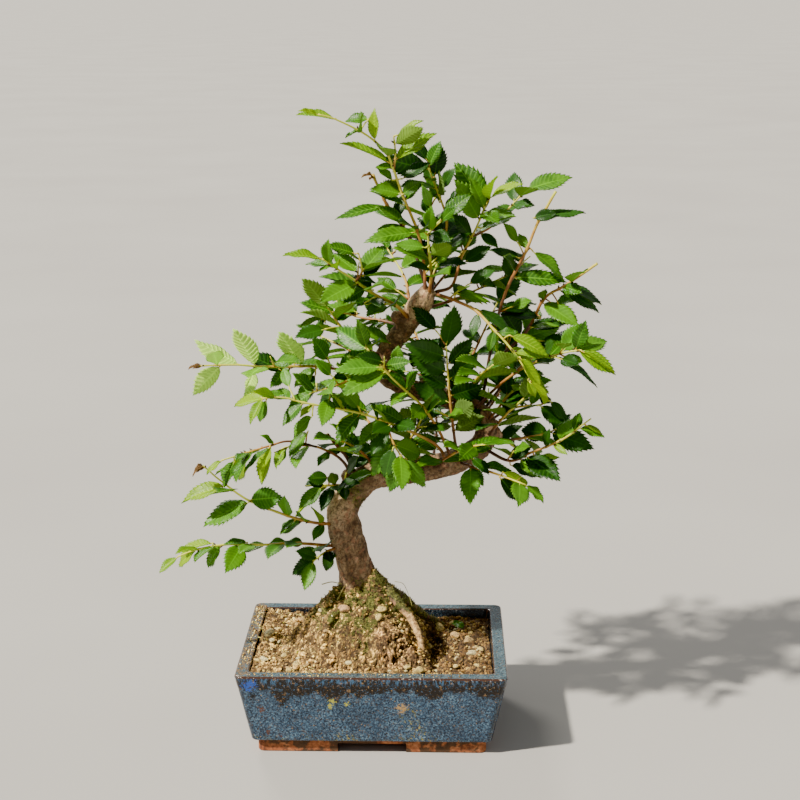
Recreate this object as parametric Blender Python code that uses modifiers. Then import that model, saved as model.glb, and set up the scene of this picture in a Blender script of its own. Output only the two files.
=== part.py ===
"""A zelkova bonsai: an S-shaped trunk with leafy sprays, rooted in soil in a glazed pot.

Run with: blender --background --python part.py
Units are metres, +Z is up. The routes of the wood, the twigs and the leaf tips are given in
millimetres from the point under the pot's middle: x to the right, y to the back, z up.
"""
import math
import random
from collections import namedtuple

import bmesh
import bpy
from mathutils import Matrix, Vector, noise
from mathutils.bvhtree import BVHTree

MM = 0.001
GAP = 0.0003

# The pot: a tapered rectangular tray with a broad flat rim, standing on four corner feet
RIM_WIDTH = 0.180
RIM_DEPTH = 0.135
POT_HEIGHT = 0.0594
BODY_FOOT = 0.0093
BODY_WIDTH_LOW = 0.1613
BODY_DEPTH_LOW = 0.115
RIM_BREADTH = 0.009
WALL_LOW = 0.0065
FLOOR_TOP = 0.0158
CORNER_RADIUS = 0.0045
RIM_ROUNDING = 0.0010
BASE_WIDTH = 0.153
BASE_DEPTH = 0.107
FOOT_HEIGHT = 0.0062
CHANNEL_WIDTH = 0.046
CHANNEL_DEPTH = 0.040
DRAIN_RADIUS = 0.0065
DRAIN_X = 0.042

# The plastic net over each drain hole
SCREEN_SIDE = 0.0259
SCREEN_HOLE = 0.0065
SCREEN_PITCH = 0.0081
SCREEN_THICK = 0.0010

# The soil and the mound of earth over the roots, which is steepest on its right
SOIL_TOP = 56.0
SOIL_DIP = 3.0
SOIL_ROUGH = 0.9
SOIL_CELL = 8.5
MOUND_CENTRE = (-6.0, -2.0)
MOUND_REACH = (56.0, 50.0)
MOUND_REACH_RIGHT = 42.0
MOUND_HEIGHT = 52.0
MOUND_BULGE = 1.6
MOUND_BULGE_RIGHT = 3.0
MOUND_ROUGH = 2.2
PEBBLE_COUNT = 16
PEBBLE_SEED = 11

# The wood: each route is (x, y, z, radius), with the number of sides of its tube
TRUNK = [
    (-3, 3, 36, 13), (-4, 3, 54, 20), (-5, 3, 70, 21), (-7, 2, 84, 17.5), (-10, 1, 97, 14.5),
    (-13, 0, 112, 12), (-17, -1, 127, 11.8), (-20, -2, 141, 11.6), (-21, -2, 153, 10.6),
    (-15, -2, 166, 10), (-2, -1, 177, 9.8),
    (18, 1, 180, 9.2), (38, 4, 182, 8.8), (57, 6, 187, 8.5), (71, 9, 195, 8.2), (76, 11, 207, 8.0),
    (70, 14, 218, 7.5), (54, 16, 225, 6.9), (34, 18, 231, 6.5), (16, 16, 237, 6.2), (6, 12, 247, 6.2),
    (8, 8, 260, 6.4), (16, 4, 272, 6.8), (24, 1, 284, 7.3), (31, -2, 296, 7.8), (37, -3, 306, 5.6),
]
KNUCKLES = {
    "low_left": [(-12, -3, 172, 7), (-17, -7, 178, 5.4), (-19, -9, 182, 3.2)],
    "run_front": [(48, 4, 185, 6.5), (50, -4, 189, 5), (50, -7, 192, 3)],
    "right_bend": [(74, 10, 203, 7), (82, 10, 204, 5), (86, 11, 205, 3)],
    "back": [(34, 18, 231, 5.6), (34, 26, 235, 4.6), (34, 30, 238, 2.8)],
    "left_bend": [(7, 12, 247, 5.6), (-1, 11, 248, 4.8), (-4, 10, 249, 2.8)],
    "upper": [(23, 1, 283, 6), (16, -3, 287, 4.8), (13, -5, 289, 2.8)],
}
ROOTS = {
    "front_right": [
        (0, -2, 96, 10), (12, -11, 94, 5.5), (21, -18, 88, 4.2), (28, -24, 80, 3.8), (32, -30, 71, 3.6),
        (33, -35, 61, 3.2), (33, -39, 50, 2.4),
    ],
    "right": [
        (0, 4, 92, 10), (14, 9, 88, 5.5), (26, 16, 77, 3.6), (34, 27, 66, 3.0), (43, 39, 57, 2.6),
        (52, 47, 48, 2.2),
    ],
    "left": [(-10, 2, 84, 10), (-28, 0, 68, 6), (-44, -3, 54, 3.4), (-56, -5, 44, 2.4)],
    "front_left": [(-8, -2, 80, 9), (-20, -18, 64, 5.5), (-30, -32, 51, 3.2), (-35, -40, 44, 2.2)],
    "back": [(-4, 8, 80, 9), (-8, 26, 64, 5), (-10, 42, 50, 3), (-11, 48, 44, 2.2)],
}
BANKED_ROOTS = ("front_right", "right")
BANK_DROP = 0.4
BANK_SLOPE = 0.28
TRUNK_SIDES = 10
LIMB_SIDES = 6
TRUNK_STEP = 10.5
LIMB_STEP = 12.0
BARK_LUMP = 0.06

# The foliage: tones of leaf, each with its proportions
Tone = namedtuple("Tone", "colour breadth fold arch shortest longest")
TONES = {
    "young": Tone((0.36, 0.52, 0.05), 0.40, 0.38, 0.12, 18, 25),
    "mid": Tone((0.10, 0.26, 0.03), 0.52, 0.22, 0.13, 23, 30),
    "dark": Tone((0.03, 0.12, 0.03), 0.54, 0.16, 0.12, 24, 31),
    "pale": Tone((0.36, 0.46, 0.20), 0.56, 0.14, 0.06, 24, 31),
    "facing": Tone((0.08, 0.24, 0.04), 0.50, 0.20, 0.10, 22, 30),
}
YOUNG, MID, DARK, PALE, FACING = TONES
TWIG_RADIUS_ROOT = 1.25
TWIG_RADIUS_TIP = 0.65
SIDE_TWIG_RADIUS = 0.9
TWIG_STEP = 22.0
TWIG_SIDES = 4
NODE_HALF = 0.6
NODE_SPACE = 2.2
SPRAY_GAP = 0.45
BLADE_THICK = 1.2
SPARE_ANGLE = 9
LEAF_SPREAD = 0.70
NOTCH = 0.80
LONGEST_LEAF = 36.0
BIG_LEAF = 27.0
CROWN_AXIS = Vector((22, 4, 0))
OUTWARD = 0.7
CROWN_SEED = 7

# A spray's name, the tone of the leaves set by rule, how many of them each twig has, the twigs' routes
# (the first starts in the wood, the others on the first) and the tips of the leaves set one by one
Spray = namedtuple("Spray", "name tone fill twigs tips")
SPRAYS = [
    Spray("left_low", MID, 1, [
        [(-19, -2, 127), (-50, -13, 133), (-74, -22, 135), (-98, -28, 137), (-117, -33, 135),
         (-129, -36, 131)],
    ], [
        (-142, -40, 122, YOUNG), (-127, -51, 142, YOUNG), (-114, -23, 119, MID), (-97, -49, 146, MID),
        (-87, -42, 139, MID), (-69, -40, 141, MID), (-56, -35, 141, MID), (-36, -31, 137, DARK),
        (-134, -21, 119, YOUNG),
    ]),
    Spray("left_tuft", DARK, 0, [
        [(-22, -5, 129), (-34, -13, 126), (-40, -19, 123)],
    ], [
        (-50, -27, 133, DARK), (-56, -23, 115, DARK), (-47, -21, 103, MID), (-33, -9, 111, DARK),
        (-28, -29, 127, DARK),
    ]),
    Spray("left_mid", MID, 1, [
        [(-22, -4, 144), (-41, -13, 148), (-62, -21, 157), (-82, -28, 168), (-94, -32, 178),
         (-110, -39, 195)],
    ], [
        (-124, -45, 175, YOUNG), (-112, -43, 158, MID), (-59, -33, 171, FACING), (-65, -12, 141, MID),
        (-48, -31, 161, MID), (-40, -23, 140, MID), (-38, -25, 165, MID),
    ]),
    Spray("left_upper", MID, 1, [
        [(-14, -8, 177), (-21, -13, 192), (-37, -21, 203), (-53, -27, 205), (-64, -32, 202)],
        [(-37, -21, 203), (-54, -29, 209), (-68, -35, 207), (-85, -40, 203), (-97, -44, 200)],
    ], [
        (-75, -36, 181, YOUNG), (-63, -41, 196, YOUNG), (-36, -29, 194, MID), (-85, -52, 196, MID),
        (-100, -48, 179, YOUNG), (-107, -49, 193, YOUNG), (-51, -43, 201, MID), (-71, -36, 216, MID),
    ]),
    Spray("left_stub", DARK, 1, [
        [(-12, -2, 179), (-18, -2, 190), (-25, -5, 200), (-31, -7, 208)],
    ], [
        (-14, 2, 206, DARK), (-2, 4, 191, DARK), (-29, -15, 198, DARK), (-19, -10, 212, MID),
    ]),
    Spray("left_shiny", DARK, 0, [
        [(-17, -10, 173), (-26, -19, 176), (-33, -25, 177)],
    ], [
        (-42, -35, 184, DARK), (-35, -31, 163, DARK), (-49, -33, 165, MID), (-18, -26, 169, DARK),
        (-28, -27, 189, DARK),
    ]),
    Spray("left_pale", PALE, 1, [
        [(7, 10, 245), (-15, -6, 251), (-37, -19, 257), (-57, -29, 259), (-73, -37, 261),
         (-86, -42, 263), (-108, -49, 264)],
    ], [
        (-111, -55, 280, PALE), (-113, -55, 247, PALE), (-86, -46, 289, PALE), (-58, -37, 286, PALE),
        (-72, -42, 224, PALE), (-80, -54, 275, DARK), (-68, -26, 245, MID), (-13, -20, 267, MID),
    ]),
    Spray("front_left_long", MID, 2, [
        [(49, -3, 188), (43, -25, 205), (28, -37, 217), (10, -46, 227), (-10, -52, 235),
         (-33, -59, 241), (-45, -61, 244), (-55, -63, 247), (-67, -66, 247)],
        [(10, -46, 227), (15, -50, 213), (21, -52, 204)],
    ], [
        (-87, -68, 245, YOUNG), (-70, -74, 255, YOUNG), (-76, -68, 232, YOUNG), (-56, -67, 231, MID),
        (-22, -63, 251, YOUNG), (-46, -57, 233, YOUNG), (-25, -45, 247, MID), (-23, -61, 218, MID),
        (-8, -54, 215, MID), (2, -58, 243, MID), (11, -58, 189, FACING), (23, -59, 181, FACING),
        (36, -55, 186, FACING), (0, -56, 208, DARK),
    ]),
    Spray("front_left_upper", MID, 2, [
        [(53, -3, 189), (44, -25, 215), (33, -37, 235), (14, -48, 256), (5, -52, 268), (-2, -55, 277)],
    ], [
        (-23, -63, 293, FACING), (-22, -61, 266, YOUNG), (-7, -58, 296, MID), (-19, -68, 252, YOUNG),
        (-11, -44, 262, YOUNG), (28, -55, 263, MID), (13, -60, 244, MID), (42, -51, 244, MID),
    ]),
    Spray("front_mid_left", MID, 3, [
        [(13, 8, 244), (2, -14, 252), (-14, -32, 251), (-26, -45, 249), (-37, -53, 248)],
    ], [
        (-46, -61, 263, MID), (-53, -59, 239, MID), (-34, -51, 229, DARK), (-19, -50, 268, MID),
    ]),
    Spray("upper_left", MID, 2, [
        [(23, -5, 287), (15, -14, 297), (1, -22, 306), (-10, -28, 315), (-31, -37, 331)],
        [(-10, -28, 315), (-6, -31, 322), (-8, -34, 334)],
    ], [
        (-54, -43, 337, YOUNG), (-33, -35, 324, MID), (-22, -49, 333, YOUNG), (-28, -41, 342, MID),
        (9, -42, 342, MID), (-13, -12, 318, DARK), (-32, -35, 305, MID), (4, -36, 317, DARK),
        (13, -38, 305, DARK), (-17, -42, 305, MID),
    ]),
    Spray("upper_left_back", DARK, 5, [
        [(23, 9, 276), (9, 20, 279), (-9, 30, 280), (-24, 37, 282), (-37, 43, 277)],
    ], [
        (-51, 47, 289, MID), (-40, 43, 263, MID), (-21, 40, 296, DARK),
    ]),
    Spray("top_arc", MID, 1, [
        [(34, -7, 302), (33, -7, 324), (29, -9, 345), (20, -14, 367), (14, -18, 385), (8, -22, 398),
         (-5, -28, 409), (-22, -35, 418), (-32, -38, 421)],
        [(14, -18, 385), (15, -18, 396), (14, -20, 406)],
    ], [
        (-43, -43, 425, YOUNG), (-7, -48, 423, MID), (-17, -26, 407, MID), (3, -22, 388, MID),
        (0, -20, 375, MID), (1, -24, 424, YOUNG), (32, -19, 418, YOUNG), (25, -27, 405, FACING),
        (31, -21, 378, MID), (-4, -22, 343, YOUNG), (17, -30, 351, DARK),
    ]),
    Spray("top_stub", DARK, 1, [
        [(35, 3, 305), (24, 7, 337), (14, 6, 353), (8, 4, 362), (0, 0, 380)],
    ], [
        (-24, -7, 355, MID), (3, 2, 346, YOUNG), (0, 22, 359, MID), (1, 24, 344, MID),
        (19, 12, 367, DARK),
    ]),
    Spray("top_centre", DARK, 1, [
        [(38, 1, 306), (44, 3, 331), (48, 4, 347), (45, 3, 361), (40, 1, 374), (36, -2, 385)],
    ], [
        (21, -8, 410, DARK), (19, -14, 378, MID), (43, -3, 402, FACING), (35, -15, 381, MID),
        (54, 1, 367, DARK), (58, 19, 353, DARK), (28, 11, 352, DARK),
    ]),
    Spray("front_up", MID, 2, [
        [(37, -7, 304), (38, -15, 320), (36, -21, 341), (37, -22, 346), (44, -23, 353)],
    ], [
        (37, -29, 362, FACING), (53, -29, 363, FACING), (16, -32, 340, MID), (49, -31, 343, DARK),
        (25, -25, 327, DARK), (48, -33, 325, MID),
    ]),
    Spray("top_right", MID, 2, [
        [(41, 1, 303), (52, 5, 307), (58, 7, 326), (65, 8, 339), (71, 6, 354), (76, 4, 365)],
        [(65, 8, 339), (77, 14, 344), (88, 18, 355), (100, 20, 368)],
    ], [
        (53, 1, 389, MID), (62, -7, 381, MID), (77, -2, 382, YOUNG), (95, -6, 377, YOUNG),
        (91, -6, 357, MID), (54, -5, 355, DARK), (130, 23, 379, MID), (92, 28, 381, DARK),
        (104, 8, 361, DARK), (82, 4, 333, DARK), (72, 18, 368, MID),
    ]),
    Spray("right_bare", DARK, 0, [
        [(71, 14, 214), (76, 10, 249), (81, 8, 280), (88, 4, 305), (100, 0, 331), (107, -1, 349),
         (118, -5, 370)],
    ], [
        (138, -1, 358, DARK), (121, 9, 358, DARK), (127, -1, 313, MID), (88, -12, 330, DARK),
        (95, 6, 342, MID),
    ]),
    Spray("right_second", MID, 2, [
        [(59, 19, 223), (79, 18, 250), (101, 12, 274), (113, 7, 298), (127, 3, 308), (146, -3, 323)],
    ], [
        (154, 4, 296, MID), (110, -3, 307, DARK), (134, -13, 307, MID), (135, -9, 285, MID),
        (129, 11, 283, DARK), (85, 8, 291, DARK), (126, 25, 278, MID),
    ]),
    Spray("right_cluster", MID, 1, [
        [(67, 10, 220), (84, -4, 242), (103, -14, 258), (123, -21, 267), (133, -25, 270)],
    ], [
        (160, -26, 278, MID), (137, -31, 290, FACING), (158, -32, 257, YOUNG), (152, -8, 261, DARK),
        (115, -33, 278, DARK), (114, -1, 250, DARK), (91, -18, 267, DARK),
    ]),
    Spray("right_arching", YOUNG, 1, [
        [(42, -7, 303), (54, -19, 301), (67, -28, 296), (77, -36, 287), (88, -42, 276), (95, -45, 267),
         (102, -48, 255)],
    ], [
        (115, -51, 249, YOUNG), (114, -43, 241, YOUNG), (94, -38, 285, MID), (114, -47, 272, YOUNG),
        (75, -40, 272, MID), (64, -35, 281, DARK), (105, -60, 266, YOUNG),
    ]),
    Spray("right_mid", DARK, 1, [
        [(77, 14, 212), (93, 22, 219), (114, 29, 220)],
    ], [
        (135, 31, 203, DARK), (98, 16, 233, DARK), (100, 20, 210, DARK), (128, 37, 227, DARK),
        (113, 35, 233, MID),
    ]),
    Spray("right_upper_mid", MID, 2, [
        [(75, 9, 212), (82, 4, 222), (90, 3, 233), (99, 1, 241)],
    ], [
        (118, -1, 246, MID), (103, 10, 230, DARK), (87, 4, 253, DARK),
    ]),
    Spray("right_low_back", MID, 3, [
        [(76, 14, 199), (91, 24, 196), (111, 33, 197), (122, 37, 199)],
    ], [
        (99, 16, 210, DARK), (151, 40, 187, DARK), (135, 45, 211, DARK), (115, 49, 181, DARK),
    ]),
    Spray("right_low", MID, 1, [
        [(74, 4, 196), (91, -6, 190), (106, -12, 198), (125, -17, 208), (143, -23, 224)],
    ], [
        (153, -22, 213, MID), (128, -23, 200, YOUNG), (124, -15, 182, DARK), (111, -23, 185, MID),
        (137, -11, 226, MID), (115, -19, 215, DARK),
    ]),
    Spray("bottom_right", MID, 2, [
        [(59, -4, 188), (68, -20, 189), (80, -32, 189), (100, -44, 185)],
    ], [
        (64, -39, 172, FACING), (97, -44, 173, FACING), (113, -47, 175, MID), (102, -48, 197, YOUNG),
        (81, -44, 204, MID), (74, -18, 176, MID),
    ]),
    Spray("left_inner", MID, 8, [[(10, 9, 256), (-8, -6, 268), (-20, -18, 283), (-28, -26, 297)]], []),
    Spray("left_low_inner", MID, 7, [[(2, -2, 180), (-4, -22, 197), (-14, -36, 209), (-22, -44, 214)]], []),
    Spray("inner_low", DARK, 8, [[(26, 0, 184), (24, -12, 203), (32, -20, 222)]], []),
    Spray("inner_middle", DARK, 12, [[(56, 4, 190), (53, -9, 215), (50, -12, 242), (48, -14, 270)]], []),
    Spray("inner_right", DARK, 8, [[(76, 6, 203), (86, -14, 222), (98, -28, 238)]], []),
    Spray("front_low", MID, 9, [[(40, 0, 184), (47, -24, 196), (60, -40, 208), (72, -52, 214)]], []),
    Spray("front_right", MID, 9, [[(58, 12, 224), (68, -14, 248), (78, -34, 262)]], []),
    Spray("right_upper_inner", MID, 7, [[(34, 4, 291), (58, 22, 296), (86, 30, 308)]], []),
    Spray("right_out", DARK, 6, [[(72, 17, 217), (94, 34, 240), (118, 42, 258)]], []),
    Spray("back_low_left", DARK, 6, [[(8, 4, 182), (-4, 34, 204), (-20, 62, 218)]], []),
    Spray("back_low", DARK, 6, [[(40, 6, 186), (42, 42, 204), (36, 74, 220)]], []),
    Spray("back_low_right", MID, 6, [[(72, 14, 212), (86, 44, 226), (98, 72, 234)]], []),
    Spray("back_middle", DARK, 6, [[(34, 22, 235), (30, 54, 256), (20, 82, 272)]], []),
    Spray("back_middle_left", MID, 6, [[(4, 14, 248), (-16, 40, 254), (-42, 60, 262)]], []),
    Spray("back_middle_right", DARK, 6, [[(54, 20, 228), (70, 46, 258), (84, 66, 284)]], []),
    Spray("back_upper", MID, 6, [[(25, 5, 285), (20, 36, 306), (8, 58, 322)]], []),
    Spray("back_upper_right", DARK, 6, [[(28, 4, 290), (50, 38, 312), (66, 58, 330)]], []),
    Spray("back_top", MID, 6, [[(38, 3, 299), (41, 26, 332), (37, 42, 358)]], []),
]
LEAF_ROUGHNESS = 0.5
COLOURS = {
    "glaze": ((0.035, 0.085, 0.16), 0.25),
    "net": ((0.03, 0.03, 0.03), 0.6),
    "earth": ((0.16, 0.10, 0.055), 0.95),
    "bark": ((0.19, 0.13, 0.085), 0.85),
}

rng = random.Random(CROWN_SEED)


def material(name, colour, roughness):
    """A Principled material, made once for each name."""
    made = bpy.data.materials.get(name)
    if made is None:
        made = bpy.data.materials.new(name)
        made.use_nodes = True
        shader = made.node_tree.nodes["Principled BSDF"]
        shader.inputs["Base Color"].default_value = (*colour, 1)
        shader.inputs["Roughness"].default_value = roughness
    return made


def mesh_object(name, vertices, faces):
    """An object of the given points and faces, both in metres."""
    mesh = bpy.data.meshes.new(name)
    mesh.from_pydata([tuple(v) for v in vertices], [], faces)
    mesh.validate()
    made = bpy.data.objects.new(name, mesh)
    bpy.context.scene.collection.objects.link(made)
    return made


def bmesh_object(name, shape):
    """An object that holds what a bmesh holds."""
    mesh = bpy.data.meshes.new(name)
    shape.to_mesh(mesh)
    shape.free()
    made = bpy.data.objects.new(name, mesh)
    bpy.context.scene.collection.objects.link(made)
    return made


def discard(objects):
    """Takes finished helpers out of the scene."""
    for helper in objects:
        bpy.data.objects.remove(helper)


def apply_modifiers(piece):
    """Makes what the modifiers give the object's own mesh."""
    graph = bpy.context.evaluated_depsgraph_get()
    graph.update()
    result = bpy.data.meshes.new_from_object(piece.evaluated_get(graph))
    piece.modifiers.clear()
    piece.data = result


def combine(piece, others, operation="UNION", solver="EXACT"):
    """Joins the others to the piece, or cuts them from it, in one Boolean, and removes them."""
    group = bpy.data.collections.new("operands")
    bpy.context.scene.collection.children.link(group)
    for other in others:
        bpy.context.scene.collection.objects.unlink(other)
        group.objects.link(other)
    boolean = piece.modifiers.new("combine", "BOOLEAN")
    boolean.operation = operation
    boolean.operand_type = "COLLECTION"
    boolean.collection = group
    boolean.solver = solver
    apply_modifiers(piece)
    discard(others)
    bpy.data.collections.remove(group)


# The pot


def tapered_block(name, low, high, bottom, top, rounding):
    """A block whose plan goes from the low (width, depth) at the bottom to the high one at the top."""
    shape = bmesh.new()
    bmesh.ops.create_cube(shape, size=2)
    for vertex in shape.verts:
        width, depth = high if vertex.co.z > 0 else low
        height = top if vertex.co.z > 0 else bottom
        vertex.co = (vertex.co.x * width / 2, vertex.co.y * depth / 2, height)
    upright = [e for e in shape.edges if abs(e.verts[0].co.z - e.verts[1].co.z) > (top - bottom) / 2]
    bmesh.ops.bevel(shape, geom=upright, offset=rounding, segments=3, profile=0.5, affect="EDGES")
    return bmesh_object(name, shape)


def cylinder(name, radius, bottom, top, x):
    shape = bmesh.new()
    bmesh.ops.create_cone(
        shape, cap_ends=True, segments=16, radius1=radius, radius2=radius, depth=top - bottom,
        matrix=Matrix.Translation((x, 0, (bottom + top) / 2)),
    )
    return bmesh_object(name, shape)


def cavity_plan(height):
    """The inside width and depth of the pot at a height."""
    share = (height - FLOOR_TOP) / (POT_HEIGHT - FLOOR_TOP)
    low = (BODY_WIDTH_LOW - 2 * WALL_LOW, BODY_DEPTH_LOW - 2 * WALL_LOW)
    high = (RIM_WIDTH - 2 * RIM_BREADTH, RIM_DEPTH - 2 * RIM_BREADTH)
    return tuple(a + (b - a) * share for a, b in zip(low, high))


def make_pot():
    """The glazed body with its cavity, on an unglazed ledge whose feet leave two channels."""
    pot = tapered_block(
        "pot", (BODY_WIDTH_LOW, BODY_DEPTH_LOW), (RIM_WIDTH, RIM_DEPTH), BODY_FOOT, POT_HEIGHT, CORNER_RADIUS
    )
    rounding = pot.modifiers.new("rim rounding", "BEVEL")
    rounding.width = RIM_ROUNDING
    rounding.segments = 2
    rounding.angle_limit = math.radians(50)
    apply_modifiers(pot)
    base = (BASE_WIDTH, BASE_DEPTH)
    ledge = tapered_block("ledge", base, base, 0, BODY_FOOT + RIM_BREADTH / 2, CORNER_RADIUS)
    combine(pot, [ledge])
    over = 0.004
    top = POT_HEIGHT + over
    cuts = [
        tapered_block("cavity", cavity_plan(FLOOR_TOP), cavity_plan(top), FLOOR_TOP, top, CORNER_RADIUS),
        cylinder("drain left", DRAIN_RADIUS, -over, FLOOR_TOP + over, -DRAIN_X),
        cylinder("drain right", DRAIN_RADIUS, -over, FLOOR_TOP + over, DRAIN_X),
    ]
    for name, size in (
        ("channel along", (BASE_WIDTH + over, CHANNEL_DEPTH)),
        ("channel across", (CHANNEL_WIDTH, BASE_DEPTH + over)),
    ):
        cuts.append(block(name, (*size, 2 * FOOT_HEIGHT), (0, 0, 0)))
    combine(pot, cuts, "DIFFERENCE")
    pot.data.materials.clear()
    pot.data.materials.append(material("glaze", *COLOURS["glaze"]))
    return pot


def block(name, size, centre):
    """A plain block of the given (width, depth, height) about its middle."""
    shape = bmesh.new()
    bmesh.ops.create_cube(shape, size=1)
    bmesh.ops.scale(shape, vec=size, verts=shape.verts)
    bmesh.ops.translate(shape, vec=centre, verts=shape.verts)
    return bmesh_object(name, shape)


def make_screen(name, x):
    """A square of plastic net lying on the floor of the pot over a drain hole."""
    middle = FLOOR_TOP + GAP + SCREEN_THICK / 2
    screen = block(name, (SCREEN_SIDE, SCREEN_SIDE, SCREEN_THICK), (x, 0, middle))
    holes = []
    for column in (-1, 0, 1):
        for row in (-1, 0, 1):
            centre = (x + column * SCREEN_PITCH, row * SCREEN_PITCH, middle)
            holes.append(block("hole", (SCREEN_HOLE, SCREEN_HOLE, 4 * SCREEN_THICK), centre))
    combine(screen, holes, "DIFFERENCE")
    screen.data.materials.clear()
    screen.data.materials.append(material("net", *COLOURS["net"]))
    return screen


# The wood


def smooth(route, step):
    """Points about a step apart on a smooth curve through the route; further values are carried along."""
    rows = [Vector(p) for p in route]
    rows = [2 * rows[0] - rows[1], *rows, 2 * rows[-1] - rows[-2]]
    found = []
    for a, b, c, d in zip(rows, rows[1:], rows[2:], rows[3:]):
        pieces = max(1, round((c.to_3d() - b.to_3d()).length / step))
        for k in range(pieces):
            t = k / pieces
            square = 2 * a - 5 * b + 4 * c - d
            cube = 3 * b - a - 3 * c + d
            found.append(0.5 * (2 * b + (c - a) * t + square * t ** 2 + cube * t ** 3))
    found.append(rows[-2])
    return found


def tube(points, radii, sides, lump=0.0):
    """Rings of points round a line of points in millimetres, with the faces between them and both caps."""
    vertices = []
    faces = []
    normal = Vector((0.3, -1, 0.2))
    for k, (point, radius) in enumerate(zip(points, radii)):
        along = points[min(k + 1, len(points) - 1)] - points[max(k - 1, 0)]
        along.normalize()
        normal = (normal - along * normal.dot(along)).normalized()
        across = along.cross(normal)
        for side in range(sides):
            turn = 2 * math.pi * side / sides
            out = normal * math.cos(turn) + across * math.sin(turn)
            swell = 1 + lump * noise.noise((point + out * radius) * 0.11)
            vertices.append(point + out * radius * swell)
    for k in range(len(points) - 1):
        for side in range(sides):
            near = k * sides + side
            beside = k * sides + (side + 1) % sides
            faces.append((near, beside, beside + sides, near + sides))
    faces.append(tuple(reversed(range(sides))))
    faces.append(tuple(range(len(vertices) - sides, len(vertices))))
    return vertices, faces


def wood_shapes(swell=0.0):
    """The tubes that make up the trunk, its knuckles and its surface roots, in millimetres."""
    shapes = []
    for route, sides, step in (
        (TRUNK, TRUNK_SIDES, TRUNK_STEP),
        *((route, LIMB_SIDES, LIMB_STEP) for route in (*KNUCKLES.values(), *ROOTS.values())),
    ):
        line = smooth(route, step)
        shapes.append(tube([p.to_3d() for p in line], [p[3] + swell for p in line], sides, BARK_LUMP))
    return shapes


def metres(vertices):
    return [v * MM for v in vertices]


def joined_wood(name, shapes):
    """The tubes of the wood in one body."""
    wood, *limbs = [mesh_object(name, metres(vertices), faces) for vertices, faces in shapes]
    wood.name = name
    combine(wood, limbs, solver="MANIFOLD")
    return wood


def make_trunk(shapes):
    """The trunk with its knuckles and roots."""
    trunk = joined_wood("trunk", shapes)
    trunk.data.materials.append(material("bark", *COLOURS["bark"]))
    return trunk


# The soil


# Soil is heaped against the two roots that show
BANKS = [p.to_3d() for name in BANKED_ROOTS for p in smooth(ROOTS[name], 5.0)]


def mound_share(x, y):
    """A place's distance from the mound's middle, 1 at its foot, and how far it lies to the right."""
    aside = x - MOUND_CENTRE[0]
    behind = y - MOUND_CENTRE[1]
    right = max(0.0, aside / (math.hypot(aside, behind) + 1)) ** 2
    reach = MOUND_REACH[0] + (MOUND_REACH_RIGHT - MOUND_REACH[0]) * right
    return min(1.0, math.hypot(aside / reach, behind / MOUND_REACH[1])), right


def ground(x, y):
    """Height of the soil, in millimetres, over a place in the pot."""
    away, right = mound_share(x, y)
    bulge = MOUND_BULGE + (MOUND_BULGE_RIGHT - MOUND_BULGE) * right
    mound = MOUND_HEIGHT * (1 - away ** bulge) ** 1.15
    dip = SOIL_DIP * max(0.0, min(1.0, (x + y - 20) / 80))
    rough = noise.noise(Vector((x, y, 0)) * 0.16) * SOIL_ROUGH
    rough += MOUND_ROUGH * min(1.0, 2 - 2 * away) * noise.noise(Vector((x, y, 7)) * 0.21)
    level = SOIL_TOP - dip + mound + rough
    for point in BANKS:
        away = (x - point.x) ** 2 + (y - point.y) ** 2
        level = max(level, point.z - BANK_DROP - BANK_SLOPE * away)
    return level


def filled_cavity(high):
    """What fills the pot's cavity up to a height in metres, a small gap clear of the pot."""
    low_plan = [side - 2 * GAP for side in cavity_plan(FLOOR_TOP)]
    high_plan = [side - 2 * GAP for side in cavity_plan(high)]
    return tapered_block("soil", low_plan, high_plan, FLOOR_TOP + GAP, high, CORNER_RADIUS)


def ground_block():
    """A block, broader than the pot's cavity, with the ground's relief on its top."""
    width, depth = (side / MM for side in (RIM_WIDTH, RIM_DEPTH))
    shape = bmesh.new()
    bmesh.ops.create_grid(
        shape, x_segments=round(width / SOIL_CELL), y_segments=round(depth / SOIL_CELL), size=1
    )
    lower = bmesh.ops.extrude_face_region(shape, geom=list(shape.faces))
    below = {item for item in lower["geom"] if isinstance(item, bmesh.types.BMVert)}
    for vertex in shape.verts:
        x, y = vertex.co.x * width / 2, vertex.co.y * depth / 2
        vertex.co = Vector((x, y, 0 if vertex in below else ground(x, y))) * MM
    bmesh.ops.recalc_face_normals(shape, faces=shape.faces)
    return bmesh_object("ground", shape)


def pebbles():
    """Half-sunk grains of stone scattered over the soil, clear of the wood."""
    draw = random.Random(PEBBLE_SEED)
    stones = []
    while len(stones) < PEBBLE_COUNT:
        x = draw.uniform(-73, 73)
        y = draw.uniform(-51, 51)
        radius = draw.uniform(1.6, 3.4)
        spin = draw.uniform(0, math.pi)
        if mound_share(x, y)[0] < 0.95:
            continue
        shape = bmesh.new()
        bmesh.ops.create_icosphere(shape, subdivisions=1, radius=radius * MM)
        bmesh.ops.scale(shape, vec=(1.25, 0.9, 0.75), verts=shape.verts)
        bmesh.ops.rotate(shape, cent=(0, 0, 0), matrix=Matrix.Rotation(spin, 3, "Z"), verts=shape.verts)
        bmesh.ops.translate(shape, vec=Vector((x, y, ground(x, y) + radius * 0.2)) * MM, verts=shape.verts)
        stones.append(bmesh_object("pebble", shape))
    return stones


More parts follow.
